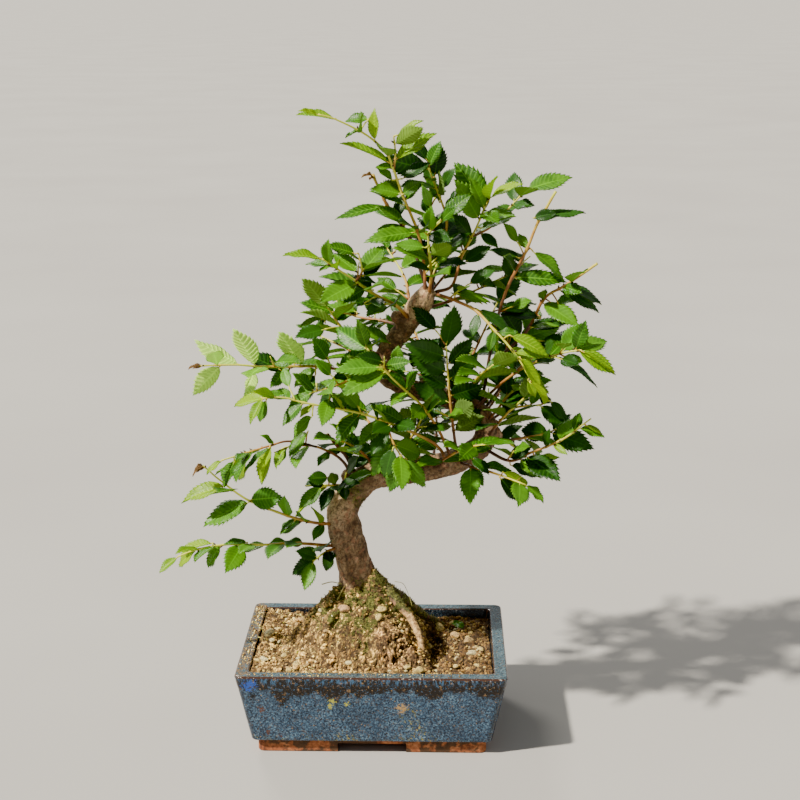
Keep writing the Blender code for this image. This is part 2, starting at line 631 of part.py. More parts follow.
def make_soil():
    """The soil with its pebbles, cut by the hole of the trunk and the beds of the two screens."""
    earth = ground_block()
    combine(earth, pebbles(), solver="MANIFOLD")
    soil = filled_cavity((SOIL_TOP + MOUND_HEIGHT) * MM)
    combine(soil, [earth], "INTERSECT", "MANIFOLD")
    cuts = [joined_wood("hole", wood_shapes(1.5 * GAP / MM))]
    side = SCREEN_SIDE + 4 * GAP
    for x in (-DRAIN_X, DRAIN_X):
        cuts.append(block("screen bed", (side, side, 2 * (SCREEN_THICK + 2 * GAP)), (x, 0, FLOOR_TOP)))
    combine(soil, cuts, "DIFFERENCE", "MANIFOLD")
    soil.data.materials.clear()
    soil.data.materials.append(material("earth", *COLOURS["earth"]))
    return soil


# The layout of the crown


class Twig:
    """A smooth line of points with the length along it."""

    def __init__(self, route, root_radius, tip_radius):
        self.points = [p.to_3d() for p in smooth(route, 2.0)]
        self.root_radius = root_radius
        self.tip_radius = tip_radius
        self.marks = [0.0]
        for a, b in zip(self.points, self.points[1:]):
            self.marks.append(self.marks[-1] + (b - a).length)
        self.length = self.marks[-1]

    def at(self, distance):
        """The point at a distance along the twig."""
        distance = max(0.0, min(self.length, distance))
        for k, mark in enumerate(self.marks[1:]):
            if mark >= distance:
                share = (distance - self.marks[k]) / (mark - self.marks[k])
                return self.points[k].lerp(self.points[k + 1], share)
        return self.points[-1]

    def heading(self, distance):
        return (self.at(distance + 2) - self.at(distance - 2)).normalized()

    def radius(self, distance):
        return self.root_radius + (self.tip_radius - self.root_radius) * distance / self.length

    def nearest(self, point):
        """The distance along the twig of its point closest to the given one."""
        closest = min(range(len(self.points)), key=lambda k: (self.points[k] - point).length_squared)
        return self.marks[closest]

    def trimmed(self, wood):
        """How far along the twig it first stands clear of the wood."""
        distance = self.length * 0.5
        while distance > 0:
            near = wood.find_nearest(self.at(distance))
            if near[3] < self.radius(distance) + SPRAY_GAP:
                break
            distance -= 0.25
        return distance + 0.25

    def ring_points(self, start):
        """Evenly spaced points of the twig, and its radii there, for a plain tube."""
        count = max(2, round((self.length - start) / TWIG_STEP))
        marks = [start + (self.length - start) * k / count for k in range(count + 1)]
        return [self.at(m) for m in marks], [self.radius(m) for m in marks]


# mark is the leaf's distance along its twig; tip is given where the leaf was set by hand
Leaf = namedtuple("Leaf", "tone twig mark base ahead up length tip")


def leaf_frame(leaf):
    """The leaf's axes: along it, across it and out of its upper face."""
    ahead = leaf.ahead.normalized()
    up = (leaf.up - ahead * leaf.up.dot(ahead)).normalized()
    return ahead, up.cross(ahead), up


def half_breadth(t):
    """Half the blade's breadth at a share of its length, at most 1."""
    return math.sin(math.pi * max(0.0, min(1.0, (t - 0.06) / 0.94)) ** 0.82) ** 0.85


def blade_points(leaf, swell=0.0):
    """The blade's outline from the root's right side round the tip, and its two points of most thickness."""
    tone = TONES[leaf.tone]
    ahead, across, up = leaf_frame(leaf)
    breadth = leaf.length * tone.breadth / 2 + swell
    teeth = 3 if leaf.length >= BIG_LEAF else 2

    def place(t, side, lift=0.0):
        rise = abs(side) * tone.fold - tone.arch * leaf.length * t * t + lift
        return leaf.base + ahead * (leaf.length * t) + across * side + up * rise

    half = []
    for k in range(teeth):
        t = (k + 0.85) / (teeth + 0.62)
        half.append((t, half_breadth(t) * breadth))
        half.append((t + 0.045, half_breadth(t + 0.045) * breadth * NOTCH))
    outline = [place(t, side) for t, side in half]
    outline.append(place(1 + swell / leaf.length, 0))
    outline += [place(t, -side) for t, side in reversed(half)]
    return outline, place(0.48, 0, swell), place(0.48, 0, -BLADE_THICK - swell)


def envelope(leaf, swell, rooted=True):
    """The leaf a little swollen, as points and faces, with or without its narrow part by the twig."""
    outline, top, low = blade_points(leaf, swell)
    across = leaf_frame(leaf)[1] * NODE_HALF
    points = [leaf.base + across, *outline, leaf.base - across] if rooted else outline
    count = len(points)
    rounds = [*range(count), 0]
    faces = [(count, b, a) for a, b in zip(rounds, rounds[1:])]
    faces += [(count + 1, a, b) for a, b in zip(rounds, rounds[1:])]
    return [*points, top, low], faces


def turned(leaf, pitch, yaw):
    """The leaf swung about its base: up or down by the pitch, sideways by the yaw, in degrees."""
    ahead, across, up = leaf_frame(leaf)
    swing = Matrix.Rotation(math.radians(-pitch), 3, across) @ Matrix.Rotation(math.radians(yaw), 3, up)
    return leaf._replace(ahead=swing @ ahead, up=swing @ up)


# A leaf set by hand that lacks room goes farther from or nearer to someone who looks at the tree's front:
# where their eyes are, and how far the leaf's tip may move, in millimetres
VIEWPOINT = Vector((42, -1063, 496))
DEPTHS = [0, 5, -5, 10, -10, 15, -15, 20, -20, 25, -25]
# Ways to swing a leaf that still lacks room: up or down and sideways, in degrees
SWINGS = [
    (0, 0), (12, 0), (-12, 0), (0, 14), (0, -14), (22, 8), (-22, -8), (14, 24), (-14, -24), (34, 0), (-34, 0),
    (26, 30), (-26, -30), (26, -30), (-26, 30), (0, 45), (0, -45), (50, 0), (-50, 0), (20, 60), (20, -60),
]
SWELL = 0.45
TOUCH = 0.1


class Room:
    """The shapes placed so far, to keep new leaves clear of them."""

    def __init__(self):
        self.taken = []

    def shape(self, vertices, faces):
        centre = sum(vertices, Vector()) / len(vertices)
        reach = max((v - centre).length for v in vertices)
        return BVHTree.FromPolygons([tuple(v) for v in vertices], faces), centre, reach

    def add(self, owner, vertices, faces):
        self.taken.append((owner, *self.shape(vertices, faces)))

    def crosses(self, owner, vertices, faces):
        """The owner of a shape that this one crosses, other than its own, or None."""
        tree, centre, reach = self.shape(vertices, faces)
        for other, other_tree, other_centre, other_reach in self.taken:
            if other == owner or (centre - other_centre).length > reach + other_reach:
                continue
            if tree.overlap(other_tree):
                return other
        return None


def leaf_to_tip(twigs, tip, tone):
    """A leaf that ends at the given tip, from the twig that comes nearest to it."""
    order = min(range(len(twigs)), key=lambda k: (twigs[k].at(twigs[k].nearest(tip)) - tip).length)
    twig = twigs[order]
    near = twig.nearest(tip)
    away = (twig.at(near) - tip).length
    beyond = near >= twig.length - 0.01 and (tip - twig.at(near)).normalized().dot(twig.heading(near)) > 0.5
    mark = near if beyond else max(twig.length * 0.12, near - LEAF_SPREAD * away)
    while (tip - twig.at(mark)).length > LONGEST_LEAF and mark < near:
        mark += 1.0
    facing = {
        PALE: Vector((0.1, 0.85, 0.45)),
        FACING: Vector((-0.15, -0.85, 0.45)),
    }.get(tone, Vector((-0.1, -0.6, 0.75)))
    wobble = Vector((rng.uniform(-1, 1), rng.uniform(-1, 1), rng.uniform(-1, 1))) * 0.25
    base = twig.at(mark)
    return Leaf(tone, order, mark, base, tip - base, facing + wobble, (tip - base).length, tip)


def leaf_by_rule(twigs, order, rank, count, tone, ends_bare):
    """One of the alternate leaves of a twig, in two ranks; the last ends the twig unless that ends bare."""
    twig = twigs[order]
    share = (rank + 0.9 + rng.uniform(-0.15, 0.15)) / (count + 0.4)
    last = rank == count - 1 and not ends_bare
    mark = twig.length if last else twig.length * (0.22 + 0.78 * min(0.97, share))
    heading = twig.heading(mark)
    level = heading.cross(Vector((0, 0, 1)))
    level = level.normalized() if level.length > 0.2 else Vector((1, 0, 0))
    rise = level.cross(heading)
    side = level if rank % 2 else -level
    spread = math.radians(12 if last else rng.uniform(44, 70))
    lift = rng.uniform(-0.25, 0.35)
    ahead = heading * math.cos(spread) + (side + rise * lift).normalized() * math.sin(spread)
    out = twig.at(mark) - CROWN_AXIS
    out.z = 0
    up = rise + out.normalized() * OUTWARD + Vector((rng.uniform(-1, 1), rng.uniform(-1, 1), 0.4)) * 0.4
    sizes = TONES[tone]
    return Leaf(tone, order, mark, twig.at(mark), ahead, up, rng.uniform(sizes.shortest, sizes.longest), None)


def spaced(leaves, twigs, start):
    """The leaves with their nodes moved apart along each twig; only one leaf ends a twig."""
    found = []
    for order, twig in enumerate(twigs):
        own = sorted((leaf for leaf in leaves if leaf.twig == order), key=lambda leaf: leaf.mark)
        low = (start if order == 0 else 1.5) + 2 * NODE_HALF
        ends = bool(own) and own[-1].mark >= twig.length - 0.01
        high = twig.length - 3 * NODE_HALF
        inner = own[:-1] if ends else own
        place = low
        for rank, leaf in enumerate(inner):
            left = len(inner) - 1 - rank
            mark = max(place, min(leaf.mark, high - NODE_SPACE * left))
            if mark > high:
                print("a twig is too short for its leaves")
                break
            place = mark + NODE_SPACE
            base = twig.at(mark)
            ahead = leaf.tip - base if leaf.tip else leaf.ahead
            length = ahead.length if leaf.tip else leaf.length
            found.append(leaf._replace(mark=mark, base=base, ahead=ahead, length=length))
        if ends:
            found.append(own[-1])
    return found


def crosses_itself(vertices, faces):
    """Whether any two faces of a form cross where they have no corner in common."""
    flat = []
    for face in faces:
        flat += [(face[0], b, c) for b, c in zip(face[1:], face[2:])]
    tree = BVHTree.FromPolygons([tuple(v) for v in vertices], flat)
    return any(a < b and not set(flat[a]) & set(flat[b]) for a, b in tree.overlap(tree))


def moved(leaf):
    """The leaf in each of the ways that it may be moved to find room, the least first."""
    if leaf.tip:
        for depth in DEPTHS:
            tip = leaf.tip + (leaf.tip - VIEWPOINT).normalized() * depth
            if (tip - leaf.base).length < LONGEST_LEAF:
                yield leaf._replace(ahead=tip - leaf.base, length=(tip - leaf.base).length)
    for pitch, yaw in SWINGS:
        yield turned(leaf, pitch, yaw)


def fitted(leaf, owner, room, twig, start, tubes, beside):
    """The leaf, moved clear of what it would cross, or None where there is no room for it."""
    heading = twig.heading(leaf.mark)
    ends_twig = leaf.mark >= twig.length - 0.01
    shoulder = blade_points(leaf)[0][0] - leaf.base
    least = math.degrees(shoulder.angle(leaf.ahead)) + SPARE_ANGLE
    for tried in moved(leaf):
        if not ends_twig and math.degrees(tried.ahead.angle(heading)) < least:
            continue
        if room.crosses(owner, *envelope(tried, SWELL)):
            continue
        tree = room.shape(*envelope(tried, TOUCH, rooted=False))[0]
        if any(tree.overlap(own) for own in tubes):
            continue
        if not crosses_itself(*leafy_tube(twig, start, [*beside, tried])):
            return tried
    return None


def lay_out_crown(shapes):
    """Each spray's twigs, with where the first one starts, and its leaves."""
    room = Room()
    vertices = []
    faces = []
    for more, sides in shapes:
        faces += [tuple(k + len(vertices) for k in face) for face in sides]
        vertices += more
        room.add("wood", more, sides)
    wood = BVHTree.FromPolygons([tuple(v) for v in vertices], faces)
    crown = []
    for spray in SPRAYS:
        twigs = []
        for order, route in enumerate(spray.twigs):
            if order:
                parent = twigs[0]
                route = [tuple(parent.at(parent.nearest(Vector(route[0])))), *route[1:]]
            twigs.append(Twig(route, SIDE_TWIG_RADIUS if order else TWIG_RADIUS_ROOT, TWIG_RADIUS_TIP))
        start = twigs[0].trimmed(wood)
        tubes = []
        for order, twig in enumerate(twigs):
            points, radii = twig.ring_points(0 if order else start)
            thick = tube(points, [r + SWELL for r in radii], 6)
            met = room.crosses(spray.name, *thick)
            if met:
                print("the twig of", spray.name, "crosses", met)
            room.add(spray.name, *thick)
            tubes.append(room.shape(*tube(points, [r + TOUCH for r in radii], TWIG_SIDES))[0])
        crown.append((spray, twigs, start, tubes, []))
    for spray, twigs, start, tubes, leaves in crown:
        wanted = [leaf_to_tip(twigs, Vector(tip[:3]), tip[3]) for tip in spray.tips]
        for order in range(len(twigs)):
            for rank in range(spray.fill):
                wanted.append(leaf_by_rule(twigs, order, rank, spray.fill, spray.tone, bool(spray.tips)))
        for leaf in spaced(wanted, twigs, start):
            owner = spray.name + " leaves"
            beside = [other for other in leaves if other.twig == leaf.twig]
            root = 0 if leaf.twig else start
            kept = fitted(leaf, spray.name, room, twigs[leaf.twig], root, tubes, beside)
            if kept is None:
                print("no room for a leaf of", spray.name)
                continue
            leaves.append(kept)
            room.add(owner, *envelope(kept, SWELL))
    return [(spray, twigs, start, leaves) for spray, twigs, start, tubes, leaves in crown]


# The sprays


def ring_marks(twig, start, leaves):
    """Where the twig's tube has rings: both ends, both sides of each leaf's node, and between far ones."""
    marks = [start]
    for leaf in leaves:
        if leaf.mark < twig.length - NODE_HALF:
            marks += [leaf.mark - NODE_HALF, leaf.mark + NODE_HALF]
    marks.append(twig.length)
    filled = []
    for a, b in zip(marks, marks[1:]):
        pieces = max(1, round((b - a) / TWIG_STEP))
        filled += [a + (b - a) * k / pieces for k in range(pieces)]
    return [*filled, twig.length]


def grow_leaf(leaf, loop, vertices, faces):
    """Builds the leaf out of a four-sided opening in the twig, given in turn round its outward side."""
    ahead, across, up = leaf_frame(leaf)
    wanted = [(1, -1), (1, 1), (-1, 1), (-1, -1)]
    centre = sum((vertices[k] for k in loop), Vector()) / 4

    def match(shift):
        total = 0.0
        for (side, height), k in zip(wanted, loop[shift:] + loop[:shift]):
            arm = vertices[k] - centre
            total += side * arm.dot(across) + height * arm.dot(up)
        return total

    shift = max(range(4), key=match)
    right_low, right_top, left_top, left_low = loop[shift:] + loop[:shift]
    outline, heart_top, heart_low = blade_points(leaf)
    first = len(vertices)
    vertices += [*outline, heart_top, heart_low]
    count = len(outline)
    ring = list(range(first, first + count))
    top, low = first + count, first + count + 1
    over = [right_top, *ring, left_top]
    under = [right_low, *ring, left_low]
    faces += [(top, b, a) for a, b in zip(over, over[1:] + over[:1])]
    faces += [(low, a, b) for a, b in zip(under, under[1:] + under[:1])]
    faces += [(right_low, right_top, ring[0]), (left_top, left_low, ring[-1])]


def facing_out(face, vertices):
    """The outward direction of a four-sided facet."""
    a, b, c, d = (vertices[k] for k in face)
    return (c - a).cross(d - b).normalized()


def leafy_tube(twig, start, leaves):
    """The twig's tube, with each leaf growing out of one of its facets, in one closed form."""
    leaves = sorted(leaves, key=lambda leaf: leaf.mark)
    marks = ring_marks(twig, start, leaves)
    vertices, faces = tube([twig.at(m) for m in marks], [twig.radius(m) for m in marks], TWIG_SIDES)
    end_cap = faces[-1]
    for leaf in leaves:
        if leaf.mark >= twig.length - NODE_HALF:
            opening = end_cap
        else:
            ring = min(range(len(marks)), key=lambda k: abs(marks[k] + NODE_HALF - leaf.mark))
            rings = (ring, ring + 1)
            facets = [face for face in faces if (face[0] // TWIG_SIDES, face[2] // TWIG_SIDES) == rings]
            opening = max(facets, key=lambda face: facing_out(face, vertices).dot(leaf.ahead))
        faces.remove(opening)
        grow_leaf(leaf, list(opening), vertices, faces)
    return vertices, faces


def make_spray(spray, twigs, start, leaves):
    """A spray's twigs and leaves in one body."""
    stems = []
    for order, twig in enumerate(twigs):
        own = [leaf for leaf in leaves if leaf.twig == order]
        vertices, faces = leafy_tube(twig, 0 if order else start, own)
        stems.append(mesh_object("spray_" + spray.name, metres(vertices), faces))
    main, *sides = stems
    if sides:
        combine(main, sides, solver="MANIFOLD")
    main.name = "spray_" + spray.name
    main.data.materials.clear()
    main.data.materials.append(material("leaf " + spray.tone, TONES[spray.tone].colour, LEAF_ROUGHNESS))
    return main


def stand_on_origin(pieces):
    """Parents the pieces to an empty, so that the middle of their box's foot is the origin."""
    corners = [v.co for piece in pieces for v in piece.data.vertices]
    low = Vector(min(c[k] for c in corners) for k in range(3))
    high = Vector(max(c[k] for c in corners) for k in range(3))
    anchor = bpy.data.objects.new("bonsai", None)
    bpy.context.scene.collection.objects.link(anchor)
    anchor.location = (-(low.x + high.x) / 2, -(low.y + high.y) / 2, -low.z)
    for piece in pieces:
        piece.parent = anchor


def main():
    for old in list(bpy.data.objects):
        bpy.data.objects.remove(old)
    shapes = wood_shapes()
    trunk = make_trunk(shapes)
    pieces = [make_pot(), make_soil(), trunk]
    pieces += [make_screen("drain_screen_left", -DRAIN_X), make_screen("drain_screen_right", DRAIN_X)]
    crown = lay_out_crown(shapes)
    pieces += [make_spray(*entry) for entry in crown]
    stand_on_origin(pieces)
    print("leaves:", sum(len(entry[3]) for entry in crown))


main()
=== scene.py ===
import math
import random
from collections import namedtuple

import bmesh
import bpy
import numpy as np
from mathutils import Matrix, Vector, noise
from mathutils.bvhtree import BVHTree
from mathutils.kdtree import KDTree

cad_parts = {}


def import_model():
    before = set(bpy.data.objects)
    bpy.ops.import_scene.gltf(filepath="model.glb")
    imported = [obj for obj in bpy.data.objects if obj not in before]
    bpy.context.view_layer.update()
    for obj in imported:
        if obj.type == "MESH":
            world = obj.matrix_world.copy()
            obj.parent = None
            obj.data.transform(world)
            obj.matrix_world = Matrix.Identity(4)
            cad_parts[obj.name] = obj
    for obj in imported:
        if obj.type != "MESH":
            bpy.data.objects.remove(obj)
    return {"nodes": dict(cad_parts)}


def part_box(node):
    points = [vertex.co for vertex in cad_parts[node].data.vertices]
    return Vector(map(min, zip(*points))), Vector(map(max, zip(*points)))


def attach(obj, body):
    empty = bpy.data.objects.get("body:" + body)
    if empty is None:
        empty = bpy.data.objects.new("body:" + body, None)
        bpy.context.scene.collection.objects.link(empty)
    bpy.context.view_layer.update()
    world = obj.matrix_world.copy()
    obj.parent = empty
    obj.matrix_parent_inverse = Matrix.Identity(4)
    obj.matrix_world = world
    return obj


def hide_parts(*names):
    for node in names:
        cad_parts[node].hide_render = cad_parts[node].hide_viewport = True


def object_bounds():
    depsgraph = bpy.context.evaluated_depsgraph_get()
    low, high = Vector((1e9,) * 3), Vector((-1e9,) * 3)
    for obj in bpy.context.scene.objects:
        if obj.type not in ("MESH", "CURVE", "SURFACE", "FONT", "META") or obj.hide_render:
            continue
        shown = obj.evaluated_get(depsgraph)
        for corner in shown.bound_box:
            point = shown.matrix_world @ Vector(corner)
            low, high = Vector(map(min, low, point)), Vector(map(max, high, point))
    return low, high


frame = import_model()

MM = 0.001
CAD_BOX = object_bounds()
POT_LOW, POT_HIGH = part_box("pot")
ORIGIN = Vector(((POT_LOW.x + POT_HIGH.x) / 2, (POT_LOW.y + POT_HIGH.y) / 2, POT_LOW.z))

# The photograph's camera
CAMERA_PLACE = (42.46, -1062.6, 495.6)
CAMERA_AHEAD = (-0.02269, 0.9699, -0.24243)
CAMERA_LENS = 73.85

# The pot
RIM_SIZE = (180.0, 135.0)
BODY_SIZE_LOW = (161.3, 115.0)
POT_HEIGHT = 59.4
BODY_FOOT = 9.3
RIM_BREADTH = 9.0
WALL_LOW = 6.5
FLOOR_TOP = 15.8
CORNER_RADIUS = 4.5
LEDGE_SIZE = (153.0, 107.0)
FOOT_HEIGHT = 6.2
CHANNELS = ((160.0, 40.0), (46.0, 115.0))
DRAIN_RADIUS = 6.5
DRAIN_X = 42.0

# The ground, as in the source
SOIL_TOP = 56.0
SOIL_DIP = 3.0
SOIL_ROUGH = 0.9
MOUND_CENTRE = (-6.0, -2.0)
MOUND_REACH = (56.0, 50.0)
MOUND_REACH_RIGHT = 42.0
MOUND_HEIGHT = 52.0
MOUND_BULGE = 1.6
MOUND_BULGE_RIGHT = 3.0
MOUND_ROUGH = 2.2
BANKED_ROOTS = ("front_right", "right")
BANK_DROP = 0.4
BANK_SLOPE = 0.28

# The wood: each route is (x, y, z, radius)
TRUNK = [
    (-3, 3, 36, 13), (-4, 3, 54, 20), (-5, 3, 70, 21), (-7, 2, 84, 17.5), (-10, 1, 97, 14.5),
    (-13, 0, 112, 12), (-17, -1, 127, 11.8), (-20, -2, 141, 11.6), (-21, -2, 153, 10.6),
    (-15, -2, 166, 10), (-2, -1, 177, 9.8),
    (18, 1, 180, 9.2), (38, 4, 182, 8.8), (57, 6, 187, 8.5), (71, 9, 195, 8.2), (76, 11, 207, 8.0),
    (70, 14, 218, 7.5), (54, 16, 225, 6.9), (34, 18, 231, 6.5), (16, 16, 237, 6.2), (6, 12, 247, 6.2),
    (8, 8, 260, 6.4), (16, 4, 272, 6.8), (24, 1, 284, 7.3), (31, -2, 296, 7.8), (37, -3, 306, 5.6),
]
KNUCKLES = {
    "low_left": [(-12, -3, 172, 7), (-17, -7, 178, 5.4), (-19, -9, 182, 3.2)],
    "run_front": [(48, 4, 185, 6.5), (50, -4, 189, 5), (50, -7, 192, 3)],
    "right_bend": [(74, 10, 203, 7), (82, 10, 204, 5), (86, 11, 205, 3)],
    "back": [(34, 18, 231, 5.6), (34, 26, 235, 4.6), (34, 30, 238, 2.8)],
    "left_bend": [(7, 12, 247, 5.6), (-1, 11, 248, 4.8), (-4, 10, 249, 2.8)],
    "upper": [(23, 1, 283, 6), (16, -3, 287, 4.8), (13, -5, 289, 2.8)],
}
ROOTS = {
    "front_right": [
        (0, -2, 96, 10), (12, -11, 93.5, 4.8), (21, -18, 87.5, 3.1), (28, -24, 79.5, 2.6),
        (32, -30, 70.5, 2.3), (33, -35, 61, 2.2), (33, -39, 50, 2.0),
    ],
    "right": [
        (0, 4, 92, 10), (14, 9, 88, 5.5), (26, 16, 77, 3.6), (34, 27, 66, 3.0), (43, 39, 57, 2.6),
        (52, 47, 48, 2.2),
    ],
}
BARK_LUMP = 0.06
# Where the bark is pale: middles and their reach
PALE_BARK = ((-28, -8, 158), (30, -9, 297))
PALE_REACH = 13
BARK_CELL = 1.0

# The twigs of each spray: the first route starts in the wood, the others on the first
TWIGS = {
    "left_low": [
        [(-19, -2, 127), (-50, -13, 133), (-74, -22, 135), (-98, -28, 137), (-117, -33, 135),
         (-129, -36, 131)],
    ],
    "left_tuft": [
        [(-22, -5, 129), (-34, -13, 126), (-40, -19, 123)],
    ],
    "left_mid": [
        [(-22, -4, 144), (-41, -13, 148), (-62, -21, 157), (-82, -28, 168), (-94, -32, 178),
         (-110, -39, 195)],
    ],
    "left_upper": [
        [(-14, -8, 177), (-21, -13, 192), (-37, -21, 203), (-53, -27, 205), (-64, -32, 202)],
        [(-37, -21, 203), (-54, -29, 209), (-68, -35, 207), (-85, -40, 203), (-97, -44, 200)],
    ],
    "left_stub": [
        [(-12, -2, 179), (-18, -2, 190), (-25, -5, 200), (-31, -7, 208)],
    ],
    "left_shiny": [
        [(-17, -10, 173), (-26, -19, 176), (-33, -25, 177)],
    ],
    "left_pale": [
        [(7, 10, 245), (-15, -6, 251), (-37, -19, 257), (-57, -29, 259), (-73, -37, 261), (-86, -42, 263),
         (-108, -49, 264)],
    ],
    "front_left_long": [
        [(49, -3, 188), (43, -25, 205), (28, -37, 217), (10, -46, 227), (-10, -52, 235), (-33, -59, 241),
         (-45, -61, 244), (-55, -63, 247), (-67, -66, 247)],
        [(10, -46, 227), (15, -50, 213), (21, -52, 204)],
    ],
    "front_left_upper": [
        [(53, -3, 189), (44, -25, 215), (33, -37, 235), (14, -48, 256), (5, -52, 268), (-2, -55, 277)],
    ],
    "front_mid_left": [
        [(13, 8, 244), (2, -14, 252), (-14, -32, 251), (-26, -45, 249), (-37, -53, 248)],
    ],
    "upper_left": [
        [(23, -5, 287), (15, -14, 297), (1, -22, 306), (-10, -28, 315), (-31, -37, 331)],
        [(-10, -28, 315), (-6, -31, 322), (-8, -34, 334)],
    ],
    "upper_left_back": [
        [(23, 9, 276), (9, 20, 279), (-9, 30, 280), (-24, 37, 282), (-37, 43, 277)],
    ],
    "top_arc": [
        [(34, -7, 302), (33, -7, 324), (29, -9, 345), (20, -14, 367), (14, -18, 385), (8, -22, 398),
         (-5, -28, 409), (-22, -35, 418), (-32, -38, 421)],
        [(14, -18, 385), (15, -18, 396), (14, -20, 406)],
    ],
    "top_stub": [
        [(35, 3, 305), (24, 7, 337), (14, 6, 353), (8, 4, 362), (0, 0, 380)],
    ],
    "top_centre": [
        [(38, 1, 306), (44, 3, 331), (48, 4, 347), (45, 3, 361), (40, 1, 374), (36, -2, 385)],
    ],
    "front_up": [
        [(37, -7, 304), (38, -15, 320), (36, -21, 341), (37, -22, 346), (44, -23, 353)],
    ],
    "top_right": [
        [(41, 1, 303), (52, 5, 307), (58, 7, 326), (65, 8, 339), (71, 6, 354), (76, 4, 365)],
        [(65, 8, 339), (77, 14, 344), (88, 18, 355), (100, 20, 368)],
    ],
    "right_bare": [
        [(71, 14, 214), (76, 10, 249), (81, 8, 280), (88, 4, 305), (100, 0, 331), (107, -1, 349),
         (118, -5, 370)],
    ],
    "right_second": [
        [(59, 19, 223), (79, 18, 250), (101, 12, 274), (113, 7, 298), (127, 3, 308), (146, -3, 323)],
    ],
    "right_cluster": [
        [(67, 10, 220), (84, -4, 242), (103, -14, 258), (123, -21, 267), (133, -25, 270)],
    ],
    "right_arching": [
        [(42, -7, 303), (54, -19, 301), (67, -28, 296), (77, -36, 287), (88, -42, 276), (95, -45, 267),
         (102, -48, 255)],
    ],
    "right_mid": [
        [(77, 14, 212), (93, 22, 219), (114, 29, 220)],
    ],
    "right_upper_mid": [
        [(75, 9, 212), (82, 4, 222), (90, 3, 233), (99, 1, 241)],
    ],
    "right_low_back": [
        [(76, 14, 199), (91, 24, 196), (111, 33, 197), (122, 37, 199)],
    ],
    "right_low": [
        [(74, 4, 196), (91, -6, 190), (106, -12, 198), (125, -17, 208), (143, -23, 224)],
    ],
    "bottom_right": [
        [(59, -4, 188), (68, -20, 189), (80, -32, 189), (100, -44, 185)],
    ],
    "left_inner": [
        [(10, 9, 256), (-8, -6, 268), (-20, -18, 283), (-28, -26, 297)],
    ],
    "left_low_inner": [
        [(2, -2, 180), (-4, -22, 197), (-14, -36, 209), (-22, -44, 214)],
    ],
    "inner_low": [
        [(26, 0, 184), (24, -12, 203), (32, -20, 222)],
    ],
    "inner_middle": [
        [(56, 4, 190), (53, -9, 215), (50, -12, 242), (48, -14, 270)],
    ],
    "inner_right": [
        [(76, 6, 203), (86, -14, 222), (98, -28, 238)],
    ],
    "front_low": [
        [(40, 0, 184), (47, -24, 196), (60, -40, 208), (72, -52, 214)],
    ],
    "front_right": [
        [(58, 12, 224), (68, -14, 248), (78, -34, 262)],
    ],
    "right_upper_inner": [
        [(34, 4, 291), (58, 22, 296), (86, 30, 308)],
    ],
    "right_out": [
        [(72, 17, 217), (94, 34, 240), (118, 42, 258)],
    ],
    "back_low_left": [
        [(8, 4, 182), (-4, 34, 204), (-20, 62, 218)],
    ],
    "back_low": [
        [(40, 6, 186), (42, 42, 204), (36, 74, 220)],
    ],
    "back_low_right": [
        [(72, 14, 212), (86, 44, 226), (98, 72, 234)],
    ],
    "back_middle": [
        [(34, 22, 235), (30, 54, 256), (20, 82, 272)],
    ],
    "back_middle_left": [
        [(4, 14, 248), (-16, 40, 254), (-42, 60, 262)],
    ],
    "back_middle_right": [
        [(54, 20, 228), (70, 46, 258), (84, 66, 284)],
    ],
    "back_upper": [
        [(25, 5, 285), (20, 36, 306), (8, 58, 322)],
    ],
    "back_upper_right": [
        [(28, 4, 290), (50, 38, 312), (66, 58, 330)],
    ],
    "back_top": [
        [(38, 3, 299), (41, 26, 332), (37, 42, 358)],
    ],
}
YOUNG_SPRAYS = (
    "top_arc", "top_right", "front_up", "right_arching", "left_mid", "front_left_long", "front_left_upper",
    "left_pale", "left_low", "upper_left",
)

# The leaves' tones, with the proportions that they have in the source
Tone = namedtuple("Tone", "breadth fold arch")
TONES = {
    "young": Tone(0.40, 0.38, 0.12),
    "mid": Tone(0.52, 0.22, 0.13),
    "dark": Tone(0.54, 0.16, 0.12),
    "pale": Tone(0.56, 0.14, 0.06),
    "facing": Tone(0.50, 0.20, 0.10),
    "dry": Tone(0.34, 0.95, 0.40),
}
LIVE_TONES = ("young", "mid", "dark", "pale", "facing")
Leaf = namedtuple("Leaf", "tone base ahead across up length wide", defaults=(1.0,))
NOTCH = 0.80
WELD = 2e-6
LEAF_SEED = 5


def world(point):
    """A place in the frame, in metres, from millimetres from the pot's middle."""
    return ORIGIN + Vector(point) * MM


def local(place):
    """The reverse of world()."""
    return (Vector(place) - ORIGIN) / MM


# Pieces and materials


def add_piece(name, vertices, faces, materials, face_materials=None, smooth=True):
    """A piece of the object, from points in millimetres."""
    mesh = bpy.data.meshes.new(name)
    points = np.asarray(vertices, float).reshape(-1, 3) * MM + np.array(ORIGIN)
    mesh.from_pydata(points.tolist(), [], faces)
    for material in materials:
        mesh.materials.append(material)
    if face_materials is not None:
        mesh.polygons.foreach_set("material_index", np.asarray(face_materials, np.int32))
    mesh.polygons.foreach_set("use_smooth", np.full(len(mesh.polygons), smooth))
    mesh.update()
    piece = bpy.data.objects.new(name, mesh)
    bpy.context.scene.collection.objects.link(piece)
    return piece


def add_values(piece, name, values):
    """A value for each point of the piece, which its material reads by name."""
    attribute = piece.data.attributes.new(name, "FLOAT", "POINT")
    attribute.data.foreach_set("value", np.asarray(values, np.float32))


